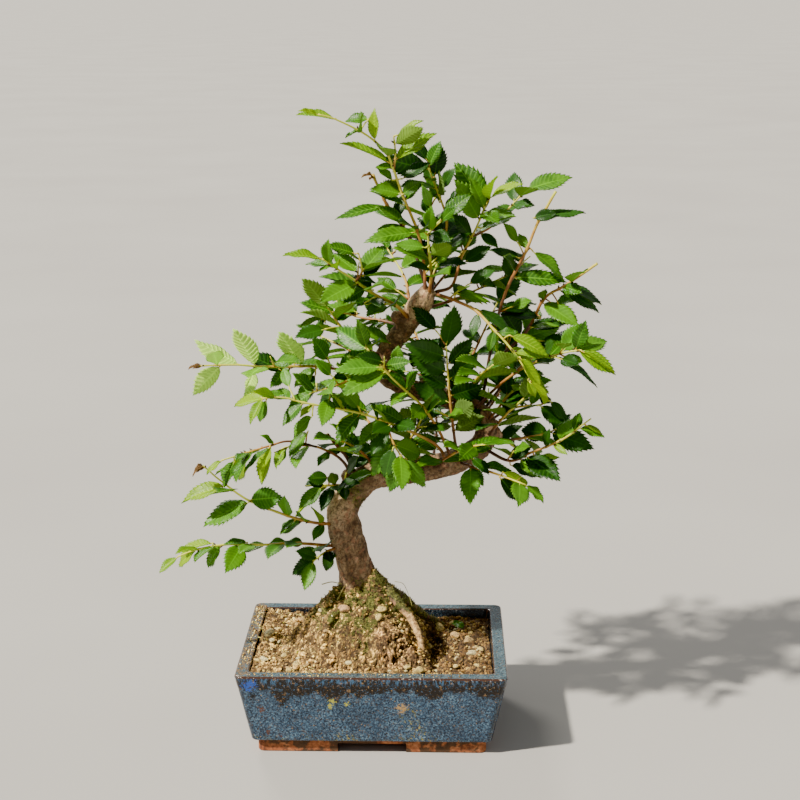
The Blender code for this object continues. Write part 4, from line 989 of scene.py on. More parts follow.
SOIL_STEP = 0.70
SOIL_SEED = 3
SOIL_FILL = 1.7
STONE_COUNT = 420
GRAIN_COUNT = 4700
RIM_GRAINS = 420
CRUMBS = ((8.0, 2.6), (3.8, 2.2), (1.9, 1.1))
CLUMP = (19.0, -41.0, 18.0, 13.0)
CRACK = [(-20, -14.5), (-21.3, -18.5), (-23.2, -21.4), (-25, -24.9), (-28.3, -27.1), (-31, -32)]
FRONT_CRACK = [(14, -52), (15, -47), (17, -43), (22, -41), (28, -40)]
Pebble = namedtuple("Pebble", "x y radius stretch tone")
PEBBLES = [
    Pebble(-74, 8, 3.9, 1.5, "white"), Pebble(-67.5, 22, 2.6, 1.0, "white"),
    Pebble(-73, -36, 2.6, 1.7, "white"), Pebble(-51, -42.5, 2.5, 1.2, "cream"),
    Pebble(31.5, -53.5, 3.6, 1.2, "cream"), Pebble(44.5, 32, 3.6, 1.7, "cream"),
    Pebble(67, -14, 3.4, 1.3, "white"), Pebble(-60, -27, 2.6, 1.2, "cream"),
    Pebble(70, -38, 2.8, 1.2, "cream"), Pebble(65, 5, 3.0, 1.4, "tan"),
    Pebble(73, -8, 2.6, 1.2, "cream"), Pebble(56, 20, 3.2, 1.6, "tan"),
    Pebble(-54, 40, 3.0, 1.5, "tan"), Pebble(-42, 22, 2.6, 1.2, "tan"), Pebble(-20, -23.5, 3.5, 1.35, "pink"),
    Pebble(5.5, -25, 2.9, 1.3, "cream"), Pebble(4, -29, 3.2, 1.2, "cream"),
]
STONE_TONES = {
    "white": (0.86, 0.74, 0.38),
    "cream": (0.84, 0.64, 0.22),
    "tan": (0.60, 0.40, 0.16),
    "pink": (0.66, 0.41, 0.20),
}


def near_line(x, y, line):
    """Distance of a place from a broken line, in plan."""
    best = 99.0
    for (ax, ay), (bx, by) in zip(line, line[1:]):
        length = (bx - ax) ** 2 + (by - ay) ** 2
        share = max(0.0, min(1.0, ((x - ax) * (bx - ax) + (y - ay) * (by - ay)) / length))
        best = min(best, math.hypot(x - ax - (bx - ax) * share, y - ay - (by - ay) * share))
    return best


def crumb(x, y, z):
    """Relief of crumbly earth, rounded lumps of three sizes, and how deep a place lies in the gaps between
    them, for painted shade there.
    """
    total = 0.0
    gap = 0.0
    place = Vector((x, y, z)) + 1.5 * noise.noise_vector(Vector((x, y, z)) * 0.3)
    for size, height in CRUMBS:
        near = noise.voronoi(place / size + Vector((size, 0, 0)))[0]
        lump = min(1.0, (near[1] - near[0]) / 0.45)
        total += height * (lump ** 0.6 - 0.55) * (0.6 + 0.8 * noise.cell(place / size * 0.8))
        gap = max(gap, (1 - lump) ** 2 * min(1.0, height))
    return total + 0.7 * noise.noise(place * 0.8) + 0.9 * noise.noise(place * 0.25), gap


def clump(x, y):
    """How much a place belongs to the coarse reddish clump at the mound's front."""
    return math.exp(-math.hypot((x - CLUMP[0]) / CLUMP[2], (y - CLUMP[1]) / CLUMP[3]) ** 4)


def soil_height(x, y):
    return soil_spot(x, y)[0].z


def earth(x, y):
    """The earth's level without its crumbs, and how much of the heap and of the hollow a place has."""
    away, right = mound_share(x, y)
    wall = max(0.0, min(1.0, (-y - 30) / 22), min(1.0, (-x - 52) / 20))
    fill = SOIL_FILL * wall * min(1.0, max(0.0, (away - 0.8) * 5))
    hollow = math.exp(-math.hypot((x - 42) / 5.5, (y + 12) / 24) ** 2)
    cover = math.exp(-((x - 20) / 17) ** 4 - ((y + 42) / 8) ** 2)
    shoulder = math.exp(-math.hypot(x - 6, y + 4) ** 2 / 80)
    return ground(x, y) + fill + 11.5 * cover - 5.5 * hollow + 6 * shoulder, cover, hollow


def soil_spot(x, y):
    """The earth's surface over a place, its crumbs pushed out square to it, and how deep it lies in the gaps,
    cracks and hollow, for painted shade there.
    """
    level, cover, hollow = earth(x, y)
    relief, gap = crumb(x, y, level)
    relief += 0.9 * clump(x, y) * (relief + 0.4)
    crack = math.exp(-(near_line(x, y, CRACK) / 1.3) ** 2)
    crack = max(crack, 0.4 * math.exp(-(near_line(x, y, FRONT_CRACK) / 1.1) ** 2))
    relief -= 5.0 * crack
    slope = (earth(x - 1, y)[0] - earth(x + 1, y)[0], earth(x, y - 1)[0] - earth(x, y + 1)[0], 2)
    out = Vector(slope).normalized()
    near_wall = min(side / 2 - abs(place) for side, place in zip(inner_size(SOIL_TOP), (x, y)))
    aside = relief * max(0.0, min(1.0, (near_wall - 2) / 4))
    heap = 60 * max(0.0, 1 - mound_share(x, y)[0]) + 14 * cover
    level = min(level + out.z * relief, POT_HEIGHT + 1.2 + heap)
    return Vector((x + out.x * aside, y + out.y * aside, level)), max(gap, crack, 0.8 * hollow)


def mound_moss(x, y, z):
    """How mossy the ground is: on the mound's upper part and right flank, and in a tuft at its front."""
    away, right = mound_share(x, y)
    high = max(0.0, min(1.0, (z - 70) / 26))
    flank = max(0.0, right - 0.25) * max(0.0, 1.1 - away)
    left = max(0.0, 1 - math.hypot((x + 30) / 14, (y + 16) / 12))
    tuft = math.exp(-math.hypot((x + 6) / 6, (y + 33) / 12) ** 2)
    place = Vector((x, y, z))
    patchy = 0.62 + 1.3 * noise.noise(place * 0.14 + Vector((0, 0, 3))) + 1.2 * noise.noise(place * 0.42)
    bare = clump(x, y) + 0.6 * math.exp(-math.hypot((x - 26) / 8, (y + 26) / 12) ** 2)
    amount = (high * 0.85 + flank * 0.8 + left * 0.5 + tuft * 0.7) * patchy * 1.5 - bare
    return max(0.0, min(1.0, amount))


def make_soil():
    """The earth: a relief of crumbs with stones on it, down to the floor of the pot."""
    half = [side / 2 - 0.45 for side in inner_size(SOIL_TOP)]
    across = round(2 * half[0] / SOIL_STEP)
    deep = round(2 * half[1] / SOIL_STEP)
    vertices = []
    values = []
    for row in range(deep + 1):
        for column in range(across + 1):
            x = half[0] * (2 * column / across - 1)
            y = half[1] * (2 * row / deep - 1)
            spot_here, gap = soil_spot(x, y)
            values.append((mound_moss(*spot_here), gap, clump(x, y)))
            vertices.append(tuple(spot_here))
    faces = []
    wide = across + 1
    for row in range(deep):
        for column in range(across):
            a = row * wide + column
            faces.append((a, a + 1, a + wide + 1, a + wide))
    rim = [*range(wide), *range(2 * wide - 1, wide * (deep + 1), wide)]
    rim += [*range(wide * (deep + 1) - 2, wide * deep - 1, -1), *range(wide * (deep - 1), 0, -wide)]
    low = [side - 0.9 for side in inner_size(FLOOR_TOP + 3)]
    first = len(vertices)
    for k in rim:
        x, y, z = vertices[k]
        vertices.append((x / half[0] * low[0] / 2, y / half[1] * low[1] / 2, FLOOR_TOP + 1.7))
        values.append((0, 0, 0))
    for k in range(len(rim)):
        beside = (k + 1) % len(rim)
        faces.append((rim[beside], rim[k], first + k, first + beside))
    faces.append(tuple(range(len(vertices) - 1, first - 1, -1)))
    tone = [0] * len(faces)
    draw = random.Random(SOIL_SEED)
    stones = list(PEBBLES)
    for _ in range(STONE_COUNT):
        x = draw.uniform(-78, 78)
        y = draw.uniform(-56, 56)
        away = mound_share(x, y)[0]
        radius = 0.8 + 1.5 * draw.random() ** 3
        pale = draw.random() < (0.5 if away >= 1 else 0.15)
        kind = draw.choice(("cream", "tan", "white", "cream")) if pale else "earth"
        if away > 0.3:
            stones.append(Pebble(x, y, radius, draw.uniform(1, 1.6), kind))
    for pebble in stones:
        add_stone(vertices, faces, draw, pebble)
        kind = 0 if pebble.tone == "earth" else list(STONE_TONES).index(pebble.tone) + 1
        tone += [kind] * (len(faces) - len(tone))
    values += [(0, 0, 0)] * (len(vertices) - len(values))
    materials = [loam()] + [stone(name, colour) for name, colour in STONE_TONES.items()]
    soil = add_piece("soil_surface", vertices, faces, materials, tone)
    for label, column in zip(("moss", "gap", "clump"), zip(*values)):
        add_values(soil, label, column)
    return soil


def add_stone(vertices, faces, draw, pebble):
    """A half-sunk stone with worn flat sides."""
    shape = bmesh.new()
    bmesh.ops.create_icosphere(shape, subdivisions=3 if pebble.radius > 2.4 else 2, radius=1)
    spin = Matrix.Rotation(draw.uniform(0, math.tau), 3, "Z")
    spin = spin @ Matrix.Rotation(draw.uniform(-0.5, 0.5), 3, "X")
    seed = Vector((draw.uniform(0, 90), draw.uniform(0, 90), draw.uniform(0, 90)))
    cuts = []
    for _ in range(7):
        way = Vector((draw.gauss(0, 1), draw.gauss(0, 1), draw.gauss(0, 1))).normalized()
        cuts.append((way, draw.uniform(0.62, 0.9)))
    centre = Vector((pebble.x, pebble.y, soil_height(pebble.x, pebble.y) + pebble.radius * 0.25))
    size = Vector((pebble.stretch, 0.95, 0.75)) * pebble.radius
    first = len(vertices)
    for vertex in shape.verts:
        cut = min(1.0, *(depth / max(0.05, vertex.co.dot(way)) for way, depth in cuts))
        dent = cut * (1 + 0.2 * noise.noise(vertex.co * 1.3 + seed) + 0.1 * noise.noise(vertex.co * 4 + seed))
        place = spin @ Vector([share * dent * reach for share, reach in zip(vertex.co, size)])
        vertices.append(tuple(centre + place))
    faces += [tuple(first + v.index for v in face.verts) for face in shape.faces]
    shape.free()


def make_grains():
    """Loose granules of many tones all over the earth."""
    shape = bmesh.new()
    bmesh.ops.create_icosphere(shape, subdivisions=1, radius=1)
    ball = np.array([v.co for v in shape.verts])
    sides = np.array([[v.index for v in face.verts] for face in shape.faces])
    shape.free()
    draw = np.random.default_rng(SOIL_SEED)
    half = [side / 2 - 1.6 for side in inner_size(SOIL_TOP)]
    vertices = []
    tones = []
    for _ in range(RIM_GRAINS):
        x, y = draw.uniform(-84, 60), -RIM_SIZE[1] / 2 + RIM_BREADTH * draw.uniform(0.25, 1)
        if draw.random() < 0.6:
            x, y = -RIM_SIZE[0] / 2 + RIM_BREADTH * draw.uniform(0.2, 1), 60 - 110 * draw.random() ** 1.6
        radius = 0.22 + (0.6 if x < -80 else 0.4) * draw.random() ** 2
        lump = ball * draw.uniform(0.6, 1.2, (len(ball), 1)) * radius
        vertices.append(lump + (x, y, POT_HEIGHT + radius * 0.3))
        tones.append(draw.random())
    for _ in range(GRAIN_COUNT):
        x, y = (draw.uniform(-side, side) for side in half)
        away = mound_share(x, y)[0]
        radius = 0.3 + (1.0 if away > 0.9 else 0.7) * draw.random() ** 3
        if away < 0.3 or near_line(x, y, CRACK) < 1.5:
            continue
        turn = Matrix.Rotation(draw.uniform(0, math.tau), 3, Vector(draw.normal(size=3)).normalized())
        lump = ball * draw.uniform(0.6, 1.25, (len(ball), 1)) * draw.uniform(0.7, 1.3, 3) * radius
        vertices.append(lump @ np.array(turn).T + (x, y, soil_height(x, y) + radius * 0.15))
        tones.append(draw.random() ** (1.3 if away > 0.85 else 1.8) * (0.7 if clump(x, y) > 0.5 else 1))
    faces = np.vstack([sides + k * len(ball) for k in range(len(vertices))]).tolist()
    grains = add_piece("soil_grains", np.vstack(vertices), faces, [grit()], smooth=False)
    add_values(grains, "tone", np.repeat(tones, len(ball)))
    return grains


def damp_and_painted_shade(look, colour):
    """The colour of the earth with broad darker patches of dampness, and painted shade of the crown that
    darkens it on the right.
    """
    patches = look.ramp(
        look.noise(12, 3, 0.6), (0.39, (0.58, 0.53, 0.49)), (0.49, (1.12, 1.12, 1.12)),
        (0.62, (1.50, 1.52, 1.50)),
    )
    colour = look.times(colour, patches)
    # Painted shadow: the earth and its granules darken towards the right, where the crown's shadow falls.
    side = look.axis("X")
    shaded = look.times(colour, (0.42, 0.36, 0.32))
    return look.mix(look.step(side, frame_x(24), frame_x(50)), colour, shaded)


def grit():
    """Granules from dark brown over tan to cream and white."""
    look = Surface("grit", 0.9)
    colour = look.ramp(
        look.value("tone"), (0.0, (0.130, 0.070, 0.028)), (0.35, (0.440, 0.280, 0.105)),
        (0.62, (0.740, 0.520, 0.200)), (0.80, (0.900, 0.740, 0.230)), (0.90, (0.930, 0.800, 0.260)),
        (1.0, (0.93, 0.88, 0.60)),
    )
    stain = look.ramp(look.noise(0.8, 3, 0.7), (0.35, (0.55, 0.50, 0.45)), (0.6, (1.1, 1.08, 1.0)))
    look.set("Base Color", damp_and_painted_shade(look, look.times(colour, stain)))
    look.bump(look.noise(0.5, 3), 0.1)
    return look.material


def loam():
    """Crumbly brown earth with painted shade in its gaps, reddish in the clump at the front, with pale
    granules.
    """
    look = Surface("loam", 0.95)
    colour = look.ramp(
        look.noise(5, 5, 0.75), (0.32, (0.240, 0.140, 0.050)), (0.44, (0.520, 0.340, 0.135)),
        (0.55, (0.780, 0.550, 0.225)), (0.68, (0.950, 0.760, 0.340)),
    )
    colour = look.mix(look.step(look.value("clump"), 0.2, 0.8, 0.0, 0.7), colour, (0.80, 0.50, 0.27))
    colour = damp_and_painted_shade(look, colour)
    for size in (2.6, 1.2):
        crumb_tone = look.node("SeparateXYZ", {0: look.cells(size, output="Color")}).outputs["X"]
        crumb_tone = look.ramp(
            crumb_tone, (0.0, (0.42, 0.36, 0.30)), (0.35, (0.78, 0.75, 0.70)), (0.75, (1.08, 1.05, 0.98)),
            (0.92, (1.25, 1.28, 1.00)), (1.0, (1.7, 1.8, 1.3)),
        )
        colour = look.times(colour, crumb_tone)
    grit_shade = look.noise(0.9, 3, 0.7)
    grit_shade = look.ramp(
        grit_shade, (0.34, (0.38, 0.34, 0.30)), (0.48, (0.90, 0.88, 0.84)), (0.66, (1.45, 1.38, 1.2))
    )
    colour = look.times(colour, grit_shade)
    pale = look.step(look.cells(2.0), 0.18, 0.32, 1.0, 0.0)
    pale = look.math("MULTIPLY", pale, look.step(look.noise(7), 0.45, 0.6))
    colour = look.mix(pale, colour, (0.72, 0.60, 0.20))
    # Painted shade: near black in the gaps between crumbs, in the cracks and in the hollow.
    colour = look.mix(look.step(look.value("gap"), 0.25, 0.85, 0.0, 0.9), colour, (0.040, 0.022, 0.010))
    look.set("Base Color", grown_over(look, colour))
    look.bump(look.noise(0.6, 4, 0.75), 0.5)
    return look.material


def stone(name, colour):
    look = Surface("stone_" + name, 0.8)
    tones = (0.38, scaled(colour, 0.20)), (0.49, scaled(colour, 0.75)), (0.62, scaled(colour, 1.25))
    look.set("Base Color", look.ramp(look.noise(1.4, 5, 0.85), *tones))
    look.bump(look.noise(0.8, 4, 0.8), 1.0)
    return look.material


MOSS_TUFTS = 4600


def make_moss(trunk, soil):
    """Short pointed shoots of moss standing on the mossy parts of the wood and the earth."""
    draw = random.Random(SOIL_SEED + 1)
    vertices = []
    faces = []
    for carrier, share in ((trunk, 0.4), (soil, 0.6)):
        mesh = carrier.data
        amount = np.zeros(len(mesh.vertices), np.float32)
        mesh.attributes["moss"].data.foreach_get("value", amount)
        mossy = [k for k in np.nonzero(amount > 0.42)[0] if local(mesh.vertices[k].co).z > SOIL_TOP + 3]
        for k in draw.choices(mossy, k=round(MOSS_TUFTS * share)):
            vertex = mesh.vertices[int(k)]
            lean = Vector((draw.uniform(-1, 1), draw.uniform(-1, 1), draw.uniform(0, 1.2))) * 0.6
            add_spike(vertices, faces, draw, local(vertex.co), (vertex.normal + lean).normalized())
    return add_piece("moss", vertices, faces, [moss_green()])


def add_spike(vertices, faces, draw, base, up):
    """One shoot: a three-sided spike with a bend half-way."""
    height = draw.uniform(0.7, 1.7)
    radius = draw.uniform(0.14, 0.28)
    side = up.orthogonal().normalized()
    first = len(vertices)
    bend = side * draw.uniform(-0.4, 0.4)
    for share, thick in ((-0.15, 1.0), (0.55, 0.9)):
        for k in range(3):
            arm = Matrix.Rotation(math.tau * k / 3, 3, up) @ side
            vertices.append(base + up * height * share + bend * max(0, share) + arm * radius * thick)
    vertices.append(base + up * height + bend * 1.8)
    for k in range(3):
        beside = (k + 1) % 3
        faces.append((first + k, first + beside, first + 3 + beside, first + 3 + k))
        faces.append((first + 3 + k, first + 3 + beside, first + 6))
    faces.append((first + 2, first + 1, first))


def moss_green():
    look = Surface("moss_green", 0.9)
    colour = look.ramp(
        look.noise(2.6, 4, 0.8), (0.34, (0.020, 0.024, 0.005)), (0.47, (0.065, 0.078, 0.012)),
        (0.57, (0.160, 0.180, 0.026)), (0.70, (0.420, 0.370, 0.100)),
    )
    look.set("Base Color", colour)
    look.bump(look.noise(0.4), 0.1)
    return look.material


# Stalks and hair roots on the ground: (x, y, height above the ground) and a radius
STALKS = {
    "green_stem": (0.45, [(-69, 50, 0.5), (-63, 49, 2.6), (-57, 45, 3.0), (-52, 42, 1.8), (-49.5, 44, 0.6)]),
    "yellow_stem": (0.5, [(-86, 4, 2.2), (-80, 2, 2.8), (-74, 0, 1.8), (-69, 1, 1.0)]),
    "pale_stalk": (0.5, [(-19, -7, 1.2), (-21, -11.5, 2.2), (-24.5, -16, 0.8)]),
    "hair_root": (0.22, [(14, -2, 0.6), (20, 2, 4.0), (24, 4, 2.0), (26, 1, 0.0)]),
    "fibre_left": (0.25, [(-78, 36, 0.5), (-82, 32, 2.0), (-81, 22, 2.4), (-78, 12, 0.6)]),
    "fibre_front": (0.25, [(-42, -46, 0.8), (-40, -52, 3.4), (-36, -56, 3.8), (-31, -54, 0.6)]),
    "fibre_right": (0.25, [(44, 50, 0.5), (46, 46, 5.0), (50, 48, 4.2), (51, 51, 0.4)]),
    "rim_left": (0.22, [(-76, 40, 1.0), (-84, 36, 6.5), (-88, 28, 6.5), (-84, 20, 5.2), (-78, 16, 1.0)]),
    "rim_corner": (0.2, [(-74, 48, 1.0), (-82, 46, 7.0), (-86, 38, 6.0), (-89, 30, 5.5), (-87, 22, 5.2)]),
    "rim_front": (0.22, [(-44, -52, 1.5), (-42, -60, 5.6), (-39, -66, 5.8), (-35, -67, 4.6)]),
    "rim_front_short": (0.2, [(-38, -55, 1.5), (-34, -61, 5.2), (-36, -65, 4.8)]),
    "rim_front_right": (0.2, [(-4, -54, 1.5), (-2, -60, 5.0), (4, -64, 4.6)]),
    "twiglet": (0.4, [(-36, -2, 14.0), (-29, -4, 8.0), (-22, -6, 2.5), (-17, -6, 0.5)]),
}


def make_stalks():
    """Dry and green stalks and hair roots that lie on the earth."""
    look = Surface("stalk", 0.6)
    colour = look.ramp(look.noise(9, 2), (0.4, (0.16, 0.075, 0.035)), (0.6, (0.42, 0.40, 0.10)))
    look.set("Base Color", colour)
    look.bump(look.noise(0.6, 2), 0.05)
    shapes = []
    for radius, route in STALKS.values():
        line = smooth_line([(x, y, ground(x, y) + rise) for x, y, rise in route], 1.2)
        radii = [radius * (1 - 0.5 * k / len(line)) for k in range(len(line))]
        shapes.append(tube([p.to_3d() for p in line], radii, 6))
    return add_piece("stalks", *merged(shapes), [look.material])


# The leaves


def half_breadth(t):
    """Half the blade's breadth at a share of its length, at most 1, as in the source."""
    return math.sin(math.pi * max(0.0, min(1.0, (t - 0.06) / 0.94)) ** 0.82) ** 0.85


def source_outline(leaf, count):
    """Where the source has the given number of outline points of a leaf."""
    tone = TONES[leaf.tone]
    teeth = (count - 1) // 4
    breadth = leaf.length * tone.breadth / 2
    half = []
    for k in range(teeth):
        t = (k + 0.85) / (teeth + 0.62)
        half.append((t, half_breadth(t) * breadth))
        half.append((t + 0.045, half_breadth(t + 0.045) * breadth * NOTCH))
    spots = [*half, (1, 0), *((t, -side) for t, side in reversed(half))]
    return [leaf_point(leaf, t, side) for t, side in spots]


def leaf_point(leaf, t, side, lift=0.0):
    tone = TONES[leaf.tone]
    rise = abs(side) * tone.fold - tone.arch * leaf.length * t * t + lift
    return leaf.base + leaf.ahead * (leaf.length * t) + leaf.across * side + leaf.up * rise


HEART = 0.48


def fitted_leaf(tone, top, low, outline):
    """The leaf of a tone whose middle line meets the given points, and how far its outline is off."""
    up = (top - low).normalized()
    arch = TONES[tone].arch
    tip = outline[len(outline) // 2]
    length = (tip - top).length / (1 - HEART)
    for _ in range(8):
        reach = (tip - top + up * arch * length * (1 - HEART ** 2)) / (1 - HEART)
        length = reach.length
    ahead = reach.normalized()
    leaf = Leaf(tone, tip + up * arch * length - reach, ahead, up.cross(ahead), up, length)
    if (outline[0] - leaf.base).dot(leaf.across) < 0:
        outline = outline[::-1]
    wanted = source_outline(leaf, len(outline))
    return max((a - b).length for a, b in zip(wanted, outline)), leaf


def read_leaves(node):
    """The leaves of a spray's solid. Each has two corners, above and below, that share its whole outline."""
    shape = bmesh.new()
    shape.from_mesh(node.data)
    bmesh.ops.remove_doubles(shape, verts=shape.verts, dist=WELD)
    hearts = [v for v in shape.verts if len(v.link_edges) >= 11]
    around = {v: {e.other_vert(v) for e in v.link_edges} for v in hearts}
    found = []
    for k, first in enumerate(hearts):
        for second in hearts[k + 1:]:
            shared = around[first] & around[second]
            if len(shared) not in (9, 13):
                continue
            outline = chain(shared)
            if len(outline) != len(shared):
                continue
            points = [local(v.co) for v in outline]
            a, b = local(first.co), local(second.co)
            tries = [fitted_leaf(tone, *pair, points) for tone in LIVE_TONES for pair in ((a, b), (b, a))]
            error, leaf = min(tries, key=lambda item: item[0])
            if error < 0.5:
                found.append(leaf)
    shape.free()
    return found


def chain(points):
    """The points in the order in which edges join them."""
    beside = {v: [e.other_vert(v) for e in v.link_edges if e.other_vert(v) in points] for v in points}
    ends = [v for v in points if len(beside[v]) == 1]
    if len(ends) != 2:
        return []
    order = [ends[0]]
    while True:
        onward = [v for v in beside[order[-1]] if v not in order]
        if not onward:
            return order
        order.append(onward[0])


VEINS = 10
BLADE_COLUMNS = (0.38, 0.76, 1.0)
BLADE_THICK = 0.28
# The margin between two side veins, as places along it with their reach outward: the point, the notch
# and the back of a tooth
TOOTH = ((0.999, 1.085), (1.10, 0.90), (1.55, 0.965))
PLEATS = {"young": 0.38, "mid": 0.36, "dark": 0.32, "pale": 0.20, "facing": 0.42, "dry": 0.5}


def margin(t):
    """Half the fine blade's breadth at a share of its length: an ellipse with a short drawn-out tip."""
    inner = max(0.0, min(1.0, (t - 0.05) / 0.95))
    beyond = max(0.0, inner - 0.72) / 0.28
    return math.sin(math.pi * inner ** 0.92) ** 0.84 * (1 - 0.36 * beyond)


class BladeForm:
    """The points of a blade in its own measure: rows along the side veins, each from the midrib outward."""

    def __init__(self):
        self.along = []
        self.side = []
        self.vein = []
        self.share = []
        marks = [(0.5, 1.0)]
        for k in range(VEINS):
            marks += [(k + part, reach) for part, reach in TOOTH]
        marks.pop()
        root = self.add(0.0, 0.0, 1, 1.0)
        rib = [self.add(mark, 0.0, 1, reach) for mark, reach in marks]
        apex = self.add(VEINS + 1.0, 0.0, 1, 1.0)
        sheet = []
        margins = []
        for sign in (1, -1):
            grid = [
                [rib[k], *(self.add(mark, share, sign, reach) for share in BLADE_COLUMNS)]
                for k, (mark, reach) in enumerate(marks)
            ]
            for near, far in zip(grid, grid[1:]):
                for k in range(len(near) - 1):
                    sheet.append((near[k], near[k + 1], far[k + 1], far[k])[::sign])
            for k in range(len(BLADE_COLUMNS)):
                sheet.append((root, grid[0][k + 1], grid[0][k])[::sign])
                sheet.append((apex, grid[-1][k], grid[-1][k + 1])[::sign])
            margins.append([row[-1] for row in grid])
        count = len(self.along)
        self.faces = sheet + [tuple(k + count for k in reversed(face)) for face in sheet]
        self.top_faces = len(sheet)
        border = [root, *margins[0], apex, *reversed(margins[1])]
        for a, b in zip(border, border[1:] + border[:1]):
            self.faces.append((b, a, a + count, b + count))
        self.along, self.side, self.vein, self.share = (
            np.array(values) for values in (self.along, self.side, self.vein, self.share)
        )

    def add(self, mark, share, sign, reach):
        """A point at a share of the way from the midrib to the margin, on the side vein of the given mark."""
        x = mark / (VEINS + 1)
        rib = 0.06 + 0.94 * x ** 1.35
        lead = 0.15 * math.sin(math.pi * x) ** 0.8
        t = rib + lead * share ** 1.15
        side = share * margin(rib + lead)
        if share == 1.0:
            t += (reach - 1.0) * 0.3
            side *= reach
        self.along.append(t)
        self.side.append(side * sign)
        self.vein.append(mark)
        self.share.append(share * sign)
        return len(self.along) - 1


FORM = BladeForm()


def blade(leaf, draw):
    """A leaf's points: folded at the midrib, arched, pleated along its side veins and a little wavy."""
    tone = TONES[leaf.tone]
    t, share = FORM.along, np.abs(FORM.share)
    side = FORM.side * leaf.length * tone.breadth * leaf.wide * draw.uniform(0.44, 0.51)
    groove = np.cos(2 * math.pi * FORM.vein) * np.minimum(1, share * 3) * (1.15 - share)
    wave = draw.uniform(0.2, 0.7) * np.sin(2 * math.pi * (draw.uniform(1.2, 2.4) * t + draw.random()))
    cup = draw.uniform(-0.06, 0.10) * side ** 2 / 6
    curl = draw.uniform(-0.06, 0.02) * leaf.length * np.maximum(0, t - 0.6) ** 2 * 4
    rise = np.abs(side) * tone.fold - tone.arch * leaf.length * t * t
    rise = rise - PLEATS[leaf.tone] * groove + wave * share ** 2 - cup + curl
    rise = rise - 0.22 * np.exp(-(share / 0.12) ** 2)
    base, ahead, across, up = (np.array(v) for v in (leaf.base, leaf.ahead, leaf.across, leaf.up))
    top = base + np.outer(leaf.length * t, ahead) + np.outer(side, across) + np.outer(rise, up)
    rib = np.exp(-(share / 0.15) ** 2) * (1 - 0.7 * t)
    ridge = 0.12 * np.maximum(0, np.cos(2 * math.pi * FORM.vein)) * (share < 0.95)
    thick = BLADE_THICK * (1 - 0.45 * share) + 0.5 * rib + ridge
    return np.vstack([top, top - np.outer(thick, up)])


class Foliage:
    """Collects the leaves and twigs of one spray, to become one piece."""

    def __init__(self):
        self.vertices = []
        self.faces = []
        self.kinds = []
        self.uv = []
        self.count = 0

    def add(self, vertices, faces, kind, uv):
        self.vertices.append(np.asarray(vertices, float))
        self.faces += [tuple(k + self.count for k in face) for face in faces]
        self.kinds += [kind] * len(faces) if isinstance(kind, int) else list(kind)
        self.uv.append(np.asarray(uv, float))
        self.count += len(vertices)

    def piece(self, name, materials):
        points = np.clip(np.vstack(self.vertices), *(np.array(local(corner)) for corner in CAD_BOX))
        made = add_piece(name, points, self.faces, materials, self.kinds)
        uv = np.vstack(self.uv)
        for column, label in enumerate(("across", "vein", "chance")):
            add_values(made, label, uv[:, column])
        return made


LEAF_KINDS = list(TONES)
TWIG_RADIUS_ROOT = 1.2
TWIG_RADIUS_TIP = 0.5
SIDE_TWIG_RADIUS = 0.8
TWIG_SIDES = 8


def add_leaf(foliage, leaf, draw):
    """The blade with its stalk, upper face and underside in materials of their own."""
    chance = draw.random()
    points = blade(leaf, draw)
    upper = LEAF_KINDS.index(leaf.tone) * 2
    kinds = [upper] * FORM.top_faces + [upper + 1] * (len(FORM.faces) - FORM.top_faces)
    values = np.column_stack([FORM.share, FORM.vein, np.full(len(FORM.share), chance)])
    foliage.add(points, FORM.faces, kinds, np.vstack([values, values]))
    stalk = [leaf_point(leaf, t, 0, -0.35) for t in (-0.01, 0.03, 0.07, 0.13)]
    vertices, faces = tube(stalk, [0.48, 0.42, 0.38, 0.28], 6)
    foliage.add(vertices, faces, len(LEAF_KINDS) * 2, [(0.9, 0, chance)] * len(vertices))


def twig_line(route):
    return [p.to_3d() for p in smooth_line(route, 2.0)]


def add_twig(foliage, line, root_radius, tip_radius, nodes, draw, green):
    """A twig's tube, thicker at its nodes, with a bud beside each."""
    chance = draw.random()
    marks = {min(range(len(line)), key=lambda k: (line[k] - node).length_squared) for node in nodes}
    radii = []
    points = []
    for k, point in enumerate(line):
        share = k / (len(line) - 1)
        radius = root_radius + (tip_radius - root_radius) * share
        radii.append(radius * (1.28 if k in marks else 1.0) * (1 + 0.1 * noise.noise(point * 0.7)))
        shake = Vector((noise.noise(point * 0.11), noise.noise(point * 0.11 + Vector((5, 0, 0))), 0)) * 0.35
        points.append(point + shake * min(1, k / 3))
    vertices, faces = tube(points, radii, TWIG_SIDES)
    along = [min(1.0, (k // TWIG_SIDES) / (len(line) - 1)) for k in range(len(vertices))]
    values = [(min(1.0, share + green), 0, chance) for share in along]
    foliage.add(vertices, faces, len(LEAF_KINDS) * 2, values)
    for k in sorted(marks):
        if 0 < k < len(line) - 1:
            heading = (line[k + 1] - line[k - 1]).normalized()
            side = Matrix.Rotation(draw.uniform(0, math.tau), 3, heading) @ heading.orthogonal().normalized()
            way = (heading * 0.8 + side).normalized()
            root = line[k] + side * radii[k] * 0.5
            bud = [root, root + way * 0.9, root + way * 1.7, root + way * 2.3]
            vertices, faces = tube(bud, [0.45, 0.6, 0.38, 0.08], 6)
            foliage.add(vertices, faces, len(LEAF_KINDS) * 2, [(0.1, 0, chance)] * len(vertices))


# Leaves that lie on the ground: (tone, x, y, heading, length)
LITTER = (
    ("mid", 53, 42, -0.6, 13), ("young", -52, -27, 0.7, 8), ("dry", -66, 30, 2.0, 6),
    ("dry", 50, -34, 0.3, 5),
)

